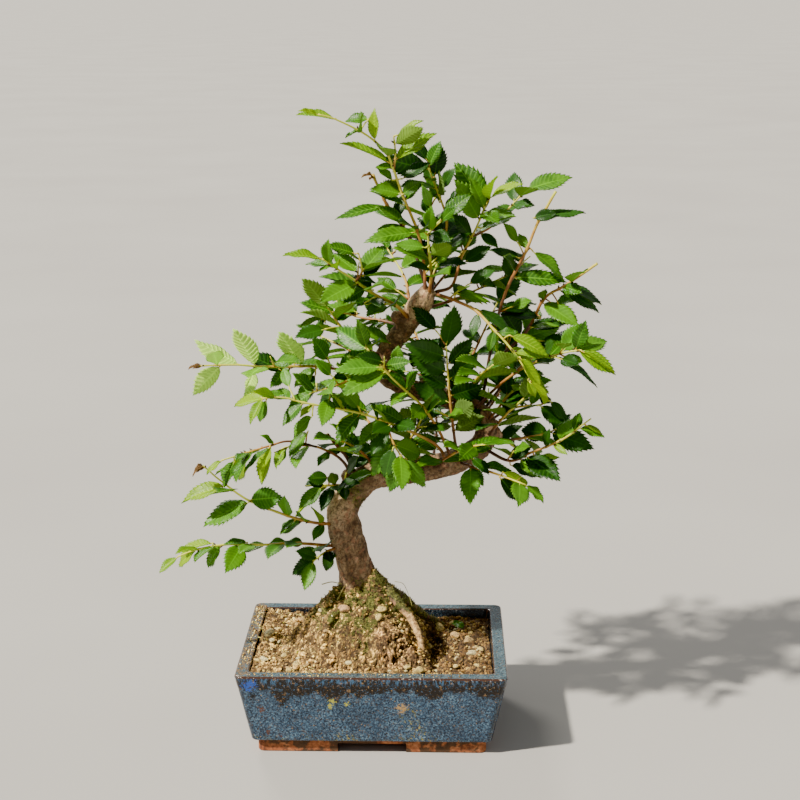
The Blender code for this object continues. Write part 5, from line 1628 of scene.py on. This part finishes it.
# Further leaves of the photograph, each (tone, its base and its tip in pixels, its breadth in pixels)
SEEN = (
    ("pale", 239, 365, 193.5, 342.5, 17), ("dark", 283.6, 371.4, 244.6, 350.3, 17),
    ("pale", 255.6, 369.7, 246, 399, 13), ("mid", 266.3, 399.5, 257.6, 422.6, 12),
    ("mid", 260.5, 397.5, 284, 391, 10), ("mid", 293.7, 363.4, 334, 360.5, 8),
    ("dark", 315.4, 373.5, 302.4, 403.8, 13), ("mid", 317, 368, 292, 386, 14),
    ("mid", 312.5, 415.4, 290.8, 435.6, 12), ("mid", 308, 431, 286.5, 455.8, 12),
    ("facing", 249, 500, 282.5, 497, 24), ("facing", 328.4, 477.5, 308, 478.4, 15),
    ("dark", 332.7, 486, 321, 507.8, 11), ("young", 328, 485, 290, 514, 8),
    ("young", 212.8, 542.5, 177.5, 548.3, 8), ("mid", 247.5, 542, 224, 541, 7),
    ("mid", 266.2, 544, 240.8, 549.2, 9), ("mid", 286.4, 542, 267.7, 541, 9),
    ("dark", 303.8, 544, 288, 540, 10), ("dark", 316.8, 548.3, 299.4, 555.5, 12),
    ("mid", 234.4, 460.7, 220, 487, 12), ("young", 336, 118.8, 297, 109.5, 7),
    ("mid", 369, 119, 344, 118, 10), ("young", 390, 162.5, 343, 137, 8),
    ("young", 398.8, 135, 421, 117.5, 6), ("dark", 428.8, 162.5, 407, 130.5, 13),
    ("dark", 434.5, 177, 440, 142.5, 21), ("dark", 401.8, 178.8, 429, 160, 13),
    ("mid", 393, 180, 378, 166, 8), ("mid", 401.8, 195, 420, 181, 12), ("mid", 405, 205, 371.5, 186.8, 8),
    ("mid", 405, 225, 379, 203, 11), ("dark", 430, 213.8, 422, 198.8, 11),
    ("mid", 440, 202.5, 428.8, 175, 10), ("facing", 437.5, 238, 455, 206.8, 19),
    ("facing", 402.5, 237, 366, 238.8, 12), ("facing", 426, 247.5, 395.5, 242.5, 13),
    ("mid", 356, 253.8, 326.8, 243, 11), ("mid", 373.8, 290, 321, 270, 13),
    ("dark", 362.5, 276, 382.5, 260, 11), ("dark", 433.8, 263.8, 448.8, 240, 17),
    ("mid", 485, 209, 472, 176, 14), ("mid", 480.6, 228, 513.8, 212.6, 12),
    ("dark", 533, 217.8, 557.5, 212, 13), ("mid", 533, 251, 567.3, 276.5, 13),
    ("dark", 563, 316, 528.8, 306, 12), ("mid", 554, 306, 578.8, 293, 11),
    ("young", 561, 309, 578.8, 321.8, 9), ("dark", 541, 318, 501.4, 309.7, 11),
    ("dark", 477.7, 308.8, 516.7, 330.5, 12), ("mid", 531, 327, 560, 322.4, 6),
    ("dark", 537.5, 340.6, 557, 341.5, 11), ("mid", 456.6, 293, 488.7, 300, 11),
    ("dark", 516.7, 279, 503.7, 255.4, 17), ("dark", 519.6, 257.7, 489.8, 246.7, 10),
    ("dark", 464, 262.6, 490, 244.4, 15), ("mid", 477.7, 272, 509.5, 266, 8),
    ("mid", 473.4, 277, 496.5, 285, 9), ("dark", 550, 400.5, 568, 420, 12),
    ("mid", 375.3, 352.8, 335, 326.2, 17), ("facing", 338, 372.4, 365.3, 347.5, 20),
    ("young", 339.7, 368.8, 343.3, 392, 16), ("mid", 393, 344, 350.4, 322.6, 14),
    ("dark", 404.4, 343, 387.7, 313.7, 17), ("dark", 436.4, 330.8, 414.3, 305.6, 15),
    ("dark", 375, 315.5, 368.9, 291.4, 17), ("mid", 357.5, 312, 328.4, 302, 12),
    ("dark", 412.6, 368.8, 418.6, 346.4, 15), ("mid", 396.6, 365.3, 398.3, 346, 14),
    ("facing", 375.3, 368.8, 412.6, 377.7, 15), ("mid", 368.9, 412, 333.3, 392, 15),
    ("mid", 405.5, 423.9, 372.4, 402.6, 16), ("mid", 387.7, 423.9, 358.2, 438, 18),
    ("young", 353.2, 412, 336.2, 438, 14), ("dark", 393, 447.7, 383, 479.6, 18),
    ("dark", 406.5, 458.7, 425, 486, 15), ("mid", 437.4, 449.8, 417, 433.5, 17),
    ("mid", 439.2, 416.8, 465.8, 413.2, 11), ("dark", 459.8, 399, 451.6, 368, 14),
    ("dark", 441, 349.3, 449.9, 329.7, 13), ("pale", 471.9, 347.5, 474.7, 368.8, 10),
    ("dark", 478.3, 406, 471.2, 429.2, 13), ("dark", 499.6, 477, 521, 501, 15),
    ("young", 503, 472, 529.8, 486, 12), ("dark", 510.2, 464.7, 540.4, 474.7, 13),
    ("mid", 480, 464.7, 513.8, 468.3, 9), ("young", 535, 459.4, 560, 455.8, 9),
    ("young", 510, 335, 550.4, 353.5, 14), ("mid", 502.4, 386.6, 524.5, 386, 9),
    ("dark", 519, 393, 522.7, 407, 10), ("dark", 496, 413, 522.7, 419.3, 9),
    ("dark", 325.5, 323.3, 316.6, 309, 13), ("facing", 316.6, 383, 293.6, 399, 14),
    ("young", 520, 357, 544, 389, 12), ("young", 528, 380, 536, 398, 9), ("young", 530, 382, 551, 398, 7),
    ("young", 489.6, 322.7, 501, 352, 6), ("facing", 562.5, 352, 583.7, 322.7, 22),
    ("young", 582, 350.7, 617, 369, 5), ("mid", 583.7, 346.7, 617, 337.5, 12),
    ("dark", 549, 433, 519.8, 430, 21), ("mid", 557, 429, 591.7, 445, 10), ("young", 586, 425, 603, 433, 5),
    ("dark", 566, 285.5, 604, 300.5, 10), ("young", 520, 477, 528, 488, 7),
    ("mid", 270, 446.5, 240, 469, 7), ("mid", 262, 448, 212, 468.5, 6), ("mid", 287, 447, 276, 465, 9),
    ("mid", 295, 520, 278, 531, 7), ("mid", 232, 490, 180, 495, 8),
)
CARRIER_REACH = 16.0
# Leaves of the source that the photograph shows narrower or in another green: the middle in pixels,
# a share of the usual breadth, and the tone
ALTERED = (
    (361, 208, 0.45, "mid"), (570, 212, 0.5, "dark"), (540, 276, 0.65, "mid"), (582, 298, 0.6, "dark"),
    (580, 370, 0.5, "dark"), (390, 233, 0.65, "mid"), (359, 366, 0.85, "facing"), (361, 384, 0.85, "mid"),
)
ALTERED_REACH = 11

# Short side shoots make the crown denser. The areas of the photograph that they may cover, and the
# places where its foliage stays open, are (left, top, right, bottom) in its pixels.
SHOOT_COUNT = 68
SHOOT_TRIES = 6000
SHOOT_SEED = 21
SHOOT_REACH = 26
THIN = (
    (380, 380, 480, 450), (350, 300, 400, 400), (418, 145, 462, 262), (334, 236, 396, 290),
    (334, 290, 396, 345), (436, 232, 522, 290), (374, 336, 446, 385), (374, 300, 400, 345),
    (420, 290, 470, 345), (278, 330, 332, 385), (278, 385, 332, 440), (346, 372, 424, 410),
    (346, 400, 424, 446), (424, 400, 480, 470), (476, 440, 522, 500), (300, 440, 420, 500),
    (540, 330, 590, 362), (500, 300, 560, 360),
)
WINDOWS = (
    (406, 286, 434, 304), (404, 300, 418, 334), (372, 376, 388, 392), (298, 278, 322, 322),
    (500, 396, 522, 440),
)
FRAME = 800
SENSOR = 36.0
HULL = 0.55
DRY_TIPS = {"left_mid": 3, "left_pale": 2, "left_stub": 2, "top_stub": 2}
# Older twigs that were cut short: stout and brown up to their ends
CUT_TWIGS = ("right_bare", "right_second", "top_stub", "left_stub")
CUT_RADIUS = 0.95


def camera_axes():
    ahead = Vector(CAMERA_AHEAD).normalized()
    right = ahead.cross(Vector((0, 0, 1))).normalized()
    return ahead, right, right.cross(ahead)


def pixel(point):
    """The photograph's pixel in which a place shows."""
    ahead, right, up = camera_axes()
    arm = Vector(point) - Vector(CAMERA_PLACE)
    scale = CAMERA_LENS / SENSOR * FRAME / arm.dot(ahead)
    return FRAME / 2 + arm.dot(right) * scale, FRAME / 2 - arm.dot(up) * scale


def sight(x, y, depth=None):
    """The direction in which a pixel of the photograph looks, or the place there at a depth."""
    ahead, right, up = camera_axes()
    way = ahead * (CAMERA_LENS / SENSOR * FRAME) + right * (x - FRAME / 2) - up * (y - FRAME / 2)
    if depth is None:
        return way.normalized()
    return Vector(CAMERA_PLACE) + way * ((depth - CAMERA_PLACE[1]) / way.y)


def within(spot, area):
    return area[0] < spot[0] < area[2] and area[1] < spot[1] < area[3]


def grown(area, more):
    return area[0] - more, area[1] - more, area[2] + more, area[3] + more


class Room:
    """The shapes that stand in the crown already, to keep new ones clear of them."""

    def __init__(self):
        self.taken = []

    def add(self, vertices, faces):
        centre = sum(vertices, Vector()) / len(vertices)
        reach = max((v - centre).length for v in vertices)
        self.taken.append((BVHTree.FromPolygons([tuple(v) for v in vertices], faces), centre, reach))

    def free(self, vertices, faces):
        centre = sum(vertices, Vector()) / len(vertices)
        reach = max((v - centre).length for v in vertices)
        tree = BVHTree.FromPolygons([tuple(v) for v in vertices], faces)
        for other, other_centre, other_reach in self.taken:
            if (centre - other_centre).length < reach + other_reach and tree.overlap(other):
                return False
        return True


def leaf_hull(leaf):
    """A plain closed form round a leaf, a little thicker than it."""
    outline = [leaf_point(leaf, 0.1, 0), *source_outline(leaf, 9)]
    count = len(outline)
    rounds = [*range(count), 0]
    faces = [(count, b, a) for a, b in zip(rounds, rounds[1:])]
    faces += [(count + 1, a, b) for a, b in zip(rounds, rounds[1:])]
    hearts = [leaf_point(leaf, HEART, 0, lift) for lift in (HULL, -HULL - BLADE_THICK)]
    return [*outline, *hearts], faces


def new_leaf(tone, base, ahead, up, length):
    ahead = ahead.normalized()
    up = (up - ahead * up.dot(ahead)).normalized()
    return Leaf(tone, base, ahead, up.cross(ahead), up, length)


def seen_leaf(tone, base, tip, breadth):
    """A leaf between two places, turned about its midrib until it looks as broad as it should."""
    ahead = (tip - base).normalized()
    arm = base - Vector(CAMERA_PLACE)
    face = (ahead * arm.dot(ahead) - arm).normalized()
    full = (tip - base).length * TONES[tone].breadth * CAMERA_LENS / SENSOR * FRAME / arm.length
    turn = math.acos(min(1.0, breadth / full))
    up = max((Matrix.Rotation(sign * turn, 3, ahead) @ face for sign in (1, -1)), key=lambda way: way.z)
    leaf = new_leaf(tone, base, ahead, -up if tone == "pale" else up, (tip - base).length)
    share = breadth / full
    return leaf._replace(wide=max(0.55, min(1.0, share / 0.45), min(1.5, share)))


def altered(leaf):
    """The leaf, with the breadth and the green that the photograph has there."""
    x, y = pixel(leaf_point(leaf, 0.5, 0))
    for middle_x, middle_y, wide, tone in ALTERED:
        if math.hypot(x - middle_x, y - middle_y) < ALTERED_REACH:
            return leaf._replace(wide=wide, tone=tone)
    return leaf


def seen_shoots(lines, room, box):
    """The further leaves by spray: each on a short shoot from the twig that passes nearest to its base."""
    found = {name: [] for name in TWIGS}
    for tone, x, y, tip_x, tip_y, breadth in SEEN:
        eye = Vector(CAMERA_PLACE)
        way = sight(x, y)
        carriers = []
        for name, rows in lines.items():
            for line in rows:
                arms = [(p - eye, k) for k, p in enumerate(line) if k > 1]
                off, k = min(((arm - way * arm.dot(way)).length, k) for arm, k in arms)
                carriers.append((off, name, line[k]))
        tries = [
            (carrier, name, depth, lean)
            for off, name, carrier in sorted(carriers, key=lambda item: item[0])[:7]
            for depth in (0, -4, 4, -8, 8, -12, 12) for lean in (0, -5, 5)
            if math.hypot(off, depth) < CARRIER_REACH
        ]
        for carrier, name, depth, lean in tries:
            base = sight(x, y, carrier.y + depth)
            leaf = seen_leaf(tone, base, sight(tip_x, tip_y, base.y + lean), breadth)
            if inside(leaf, box) and room.free(*leaf_hull(leaf)):
                middle = (carrier + base) / 2 + Vector((0, 0, 0.08 * (carrier - base).length))
                room.add(*leaf_hull(leaf))
                found[name].append((twig_line([tuple(carrier), tuple(middle), tuple(base)]), [leaf]))
                break
    return found


def inside(leaf, box):
    """Whether a leaf is well within the box of the whole."""
    spots = [leaf_point(leaf, t, side) for t, side in ((0.5, 5), (0.5, -5), (1, 0))]
    return all(box[0][k] + 1 < spot[k] < box[1][k] - 1 for spot in spots for k in range(3))


def shoot_leaves(line, draw):
    """Alternate leaves along a shoot and one at its end; those at the back take the darker tones, as painted
    shade inside the crown.
    """
    # Painted shade: shoots that start at the back get mostly dark leaves.
    tones = ("dark", "dark", "mid") if line[0].y > -20 else ("mid", "facing", "dark")
    count = max(2, round(len(line) / 3.2))
    found = []
    for rank in range(count):
        last = rank == count - 1
        k = len(line) - 1 if last else 1 + round((len(line) - 3) * (rank + 0.6) / count)
        heading = (line[min(k + 1, len(line) - 1)] - line[k - 1]).normalized()
        level = heading.cross(Vector((0, 0, 1)))
        level = level.normalized() if level.length > 0.2 else Vector((1, 0, 0))
        spread = math.radians(10 if last else draw.uniform(42, 66))
        side = (level if rank % 2 else -level) + Vector((0, 0, draw.uniform(-0.3, 0.3)))
        ahead = heading * math.cos(spread) + side.normalized() * math.sin(spread)
        wobble = Vector((draw.uniform(-1, 1), draw.uniform(-1, 1), draw.uniform(-1, 1))) * 0.35
        up = Vector((-0.1, -0.6, 0.75)) + wobble
        found.append(new_leaf(draw.choice(tones), line[k], ahead, up, draw.uniform(15, 25)))
    return found


def make_shoots(crown, lines):
    """For each spray, short side shoots with their leaves, where the crown's middle has room for them."""
    draw = random.Random(SHOOT_SEED)
    room = Room()
    wood = frame["nodes"]["trunk"].data
    room.add([local(v.co) for v in wood.vertices], [tuple(face.vertices) for face in wood.polygons])
    for name, leaves in crown.items():
        for leaf in leaves:
            room.add(*leaf_hull(leaf))
        for line in lines[name]:
            room.add(*tube(line, [TWIG_RADIUS_ROOT] * len(line), 5))
    box = [local(corner) for corner in CAD_BOX]
    shoots = seen_shoots(lines, room, box)
    starts = []
    for area in THIN:
        for name, rows in lines.items():
            for line in rows:
                wide = grown(area, SHOOT_REACH)
                near = [k for k in range(1, len(line) - 2) if within(pixel(line[k]), wide)]
                starts += [(area, name, line, k) for k in near]
    made = 0
    for _ in range(SHOOT_TRIES):
        if made == SHOOT_COUNT:
            break
        area = draw.choice(THIN)
        area, name, line, k = draw.choice([start for start in starts if start[0] == area])
        heading = (line[k + 1] - line[k - 1]).normalized()
        side = Matrix.Rotation(draw.uniform(0, math.tau), 3, heading) @ heading.orthogonal().normalized()
        way = (heading * 0.7 + side + Vector((0, 0, 0.3))).normalized()
        length = draw.uniform(8, 22)
        sag = Vector((0, 0, -0.06 * length))
        middle, end = line[k] + way * length * 0.5, line[k] + way * length + sag
        own = twig_line([tuple(line[k]), tuple(middle), tuple(end)])
        if len(own) < 5 or not room.free(*tube(own[3:], [SIDE_TWIG_RADIUS] * (len(own) - 3), 5)):
            continue
        kept = []
        for leaf in shoot_leaves(own, draw):
            shown = [pixel(leaf_point(leaf, t, side)) for t, side in ((0.5, 5), (0.5, -5), (1, 0))]
            clear = not any(within(spot, window) for spot in shown for window in WINDOWS)
            wanted = within(pixel(leaf_point(leaf, 0.5, 0)), area)
            if clear and wanted and inside(leaf, box) and room.free(*leaf_hull(leaf)):
                kept.append(leaf)
                room.add(*leaf_hull(leaf))
        if kept:
            shoots[name].append((own, kept))
            room.add(*tube(own[2:], [SIDE_TWIG_RADIUS] * (len(own) - 2), 5))
            made += 1
    return shoots


def dry_leaves(line, count, draw):
    """Small shrivelled leaves that hang on at a twig's dead end."""
    heading = (line[-1] - line[-2]).normalized()
    found = []
    for rank in range(count):
        ahead = heading + Vector((draw.uniform(-0.9, 0.9), draw.uniform(-0.9, 0.3), draw.uniform(-1.2, 0.4)))
        up = Vector((draw.uniform(-1, 1), draw.uniform(-1, 1), 0.6))
        found.append(new_leaf("dry", line[-1 - rank % 2], ahead, up, draw.uniform(6, 9)))
    return found


def make_sprays():
    """A piece for each spray: its fine leaves stand where the source's are, on the source's twigs."""
    materials = []
    for kind in LEAF_KINDS:
        materials += [leaf_surface(kind, True), leaf_surface(kind, False)]
    materials.append(twig_surface())
    crown = {name: [altered(leaf) for leaf in read_leaves(frame["nodes"]["spray_" + name])] for name in TWIGS}
    lines = {}
    for name, routes in TWIGS.items():
        lines[name] = [twig_line(routes[0])]
        for route in routes[1:]:
            start = min(lines[name][0], key=lambda p: (p - Vector(route[0])).length_squared)
            lines[name].append(twig_line([tuple(start), *route[1:]]))
    litter = Foliage()
    draw = random.Random(LEAF_SEED)
    for tone, x, y, turn, length in LITTER:
        base = Vector((x, y, soil_height(x, y) + 2.2))
        ahead = Vector((math.cos(turn), math.sin(turn), -0.05))
        add_leaf(litter, new_leaf(tone, base, ahead, Vector((-0.15, -0.35, 1)), length), draw)
    fallen = litter.piece("fallen_leaves", materials)
    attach(fallen, "root")
    shoots = make_shoots(crown, lines)
    for order, name in enumerate(TWIGS):
        draw = random.Random(LEAF_SEED + order)
        foliage = Foliage()
        cut = name in CUT_TWIGS
        green = 0.35 if name in YOUNG_SPRAYS else -0.28 if cut else 0.08
        leaves = [*crown[name], *dry_leaves(lines[name][0], DRY_TIPS.get(name, 0), draw)]
        for rank, line in enumerate(lines[name]):
            nodes = [leaf.base for leaf in leaves if min((leaf.base - point).length for point in line) < 1.5]
            root = SIDE_TWIG_RADIUS if rank else TWIG_RADIUS_ROOT
            add_twig(foliage, line, root, CUT_RADIUS if cut else TWIG_RADIUS_TIP, nodes, draw, green)
        for own, kept in shoots[name]:
            add_twig(foliage, own, 0.6, 0.4, [leaf.base for leaf in kept], draw, max(0.2, green + 0.25))
            leaves += kept
        for leaf in leaves:
            add_leaf(foliage, leaf, draw)
        piece = foliage.piece("foliage_" + name, materials)
        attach(piece, "root")
        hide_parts("spray_" + name)


LEAF_COLOURS = {
    "young": ((0.150, 0.320, 0.001), (0.330, 0.500, 0.002), (0.300, 0.440, 0.004)),
    "mid": ((0.030, 0.115, 0.003), (0.112, 0.30, 0.008), (0.23, 0.40, 0.04)),
    "dark": ((0.009, 0.047, 0.004), (0.031, 0.120, 0.008), (0.14, 0.26, 0.04)),
    "pale": ((0.075, 0.20, 0.010), (0.27, 0.50, 0.045), (0.70, 0.95, 0.20)),
    "facing": ((0.040, 0.155, 0.006), (0.125, 0.35, 0.016), (0.24, 0.41, 0.05)),
    "dry": ((0.12, 0.055, 0.020), (0.38, 0.23, 0.09), (0.42, 0.28, 0.13)),
}


def leaf_surface(kind, upper):
    """A leaf's skin: pale veins and rib, mottled, glossy above, dull below, with light coming through."""
    look = Surface("leaf_" + kind + ("_top" if upper else "_under"), 0.4)
    deep, light, below = LEAF_COLOURS[kind]
    across = look.math("ABSOLUTE", look.value("across"))
    vein = look.math("PINGPONG", look.value("vein"), 0.5)
    tone = look.step(look.noise(8, 3), 0.3, 0.7, -0.3, 0.3)
    tone = look.math("ADD", tone, look.step(look.value("chance"), 0, 1))
    between = look.step(vein, 0.02, 0.30)
    if upper:
        colour = look.mix(look.step(tone, 0, 1), deep, light)
        colour = look.mix(look.step(between, 0, 1, 0.45, 0.0), colour, scaled(light, 1.4))
        colour = look.mix(look.step(across, 0.02, 0.08, 0.8, 0.0), colour, scaled(light, 1.8))
    else:
        colour = look.mix(look.step(tone, 0, 1, 0.0, 0.5), below, scaled(below, 0.72))
        colour = look.mix(look.step(between, 0, 1, 0.55, 0.0), colour, scaled(below, 1.35))
        colour = look.mix(look.step(across, 0.03, 0.11, 0.85, 0.0), colour, scaled(below, 1.4))
    blotch = look.step(look.noise(2.4, 4, 0.7), 0.70, 0.78, 0.0, 0.4)
    colour = look.mix(blotch, colour, scaled(light, 0.5))
    look.set("Base Color", colour)
    look.set("Roughness", look.step(look.noise(1.5, 2), 0.3, 0.7, *((0.28, 0.44) if upper else (0.55, 0.7))))
    look.shader.inputs["Specular IOR Level"].default_value = 0.45 if upper else 0.3
    net = look.math("MULTIPLY", look.cells(0.9, "DISTANCE_TO_EDGE"), 1.2)
    look.bump(look.math("ADD", net, between), 0.10 if upper else 0.14)
    glow = look.node("BsdfTranslucent", {"Color": look.mix(0.5, colour, scaled(light, 2.0))})
    through = 0.5 if kind in ("young", "pale") else 0.38
    both = look.node("MixShader", {0: through, 1: look.shader.outputs[0], 2: glow.outputs[0]})
    look.tree.links.new(both.outputs[0], look.output.inputs["Surface"])
    return look.material


def twig_surface():
    """Dark bark at the root of a twig, turning orange-brown and then pale yellow-green at its young end."""
    look = Surface("twig_bark", 0.5)
    age = look.math("ADD", look.value("across"), look.step(look.noise(6, 3), 0.3, 0.7, -0.10, 0.10))
    age = look.math("ADD", age, look.step(look.value("chance"), 0, 1, -0.12, 0.12))
    colour = look.ramp(
        age, (0.10, (0.040, 0.018, 0.010)), (0.34, (0.130, 0.048, 0.018)), (0.56, (0.38, 0.155, 0.028)),
        (0.76, (0.54, 0.38, 0.040)), (0.95, (0.56, 0.60, 0.050)),
    )
    flecks = look.step(look.noise(0.9, 3, 0.7), 0.5, 0.7, 0.0, 0.3)
    look.set("Base Color", look.mix(flecks, colour, (0.30, 0.17, 0.06)))
    look.bump(look.noise(0.7, 3, 0.7), 0.12)
    return look.material


# The stage, in metres and degrees

FLOOR_RADIUS = 120
SIGHT_REACH = 400
# Each light: its name, the way it shines, its strength, its breadth and its colour
SUNS = (
    ("key", (0.80, 0.50, -1.0), 15.5, 2.5, (1.0, 0.93, 0.80)),
    ("back", (0.40, -0.80, -0.70), 2.2, 14, (1.0, 0.97, 0.90)),
)
AROUND_COLOUR = (0.92, 0.90, 0.88)
AROUND_STRENGTH = 0.80


def make_stage():
    """A plain pale floor, a soft key light from the left, a weaker one from behind, and the camera."""
    shape = bmesh.new()
    bmesh.ops.create_circle(shape, cap_ends=True, segments=64, radius=FLOOR_RADIUS)
    floor = bmesh_object("floor", shape)
    look = Surface("floor", 0.9)
    colour = look.ramp(look.noise(400, 2), (0.3, (0.36, 0.352, 0.337)), (0.7, (0.39, 0.381, 0.365)))
    look.set("Base Color", colour)
    floor.data.materials.append(look.material)
    for sun in SUNS:
        add_sun(*sun)
    world_look = bpy.data.worlds.new("studio")
    world_look.use_nodes = True
    back = world_look.node_tree.nodes["Background"]
    back.inputs["Color"].default_value = (*AROUND_COLOUR, 1)
    back.inputs["Strength"].default_value = AROUND_STRENGTH
    bpy.context.scene.world = world_look
    bpy.context.scene.view_settings.look = "AgX - Punchy"
    camera = bpy.data.objects.new("camera", bpy.data.cameras.new("camera"))
    camera.data.lens = CAMERA_LENS
    camera.data.clip_end = SIGHT_REACH
    camera.location = world(CAMERA_PLACE)
    camera.rotation_euler = Vector(CAMERA_AHEAD).to_track_quat("-Z", "Y").to_euler()
    bpy.context.scene.collection.objects.link(camera)
    bpy.context.scene.camera = camera


def add_sun(name, heading, energy, breadth, colour):
    """A light that shines along the heading, as soft as its breadth in degrees."""
    light = bpy.data.lights.new(name, "SUN")
    light.energy = energy
    light.angle = math.radians(breadth)
    light.color = colour
    lamp = bpy.data.objects.new(name, light)
    lamp.rotation_euler = Vector(heading).to_track_quat("-Z", "Y").to_euler()
    bpy.context.scene.collection.objects.link(lamp)


def main():
    # Without a seed, noise_vector takes its offsets from the clock
    noise.seed_set(SOIL_SEED)
    make_stage()
    dress_screens()
    pot = make_pot()
    trunk = make_trunk()
    soil = make_soil()
    for piece, node, slot in (
        (pot, "pot", "glaze"), (trunk, "trunk", "bark"), (soil, "soil", "earth"),
        (make_grains(), None, "earth"), (make_moss(trunk, soil), None, "bark"), (make_stalks(), None, "bark"),
    ):
        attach(piece, "root")
        if node:
            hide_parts(node)
    make_sprays()


main()
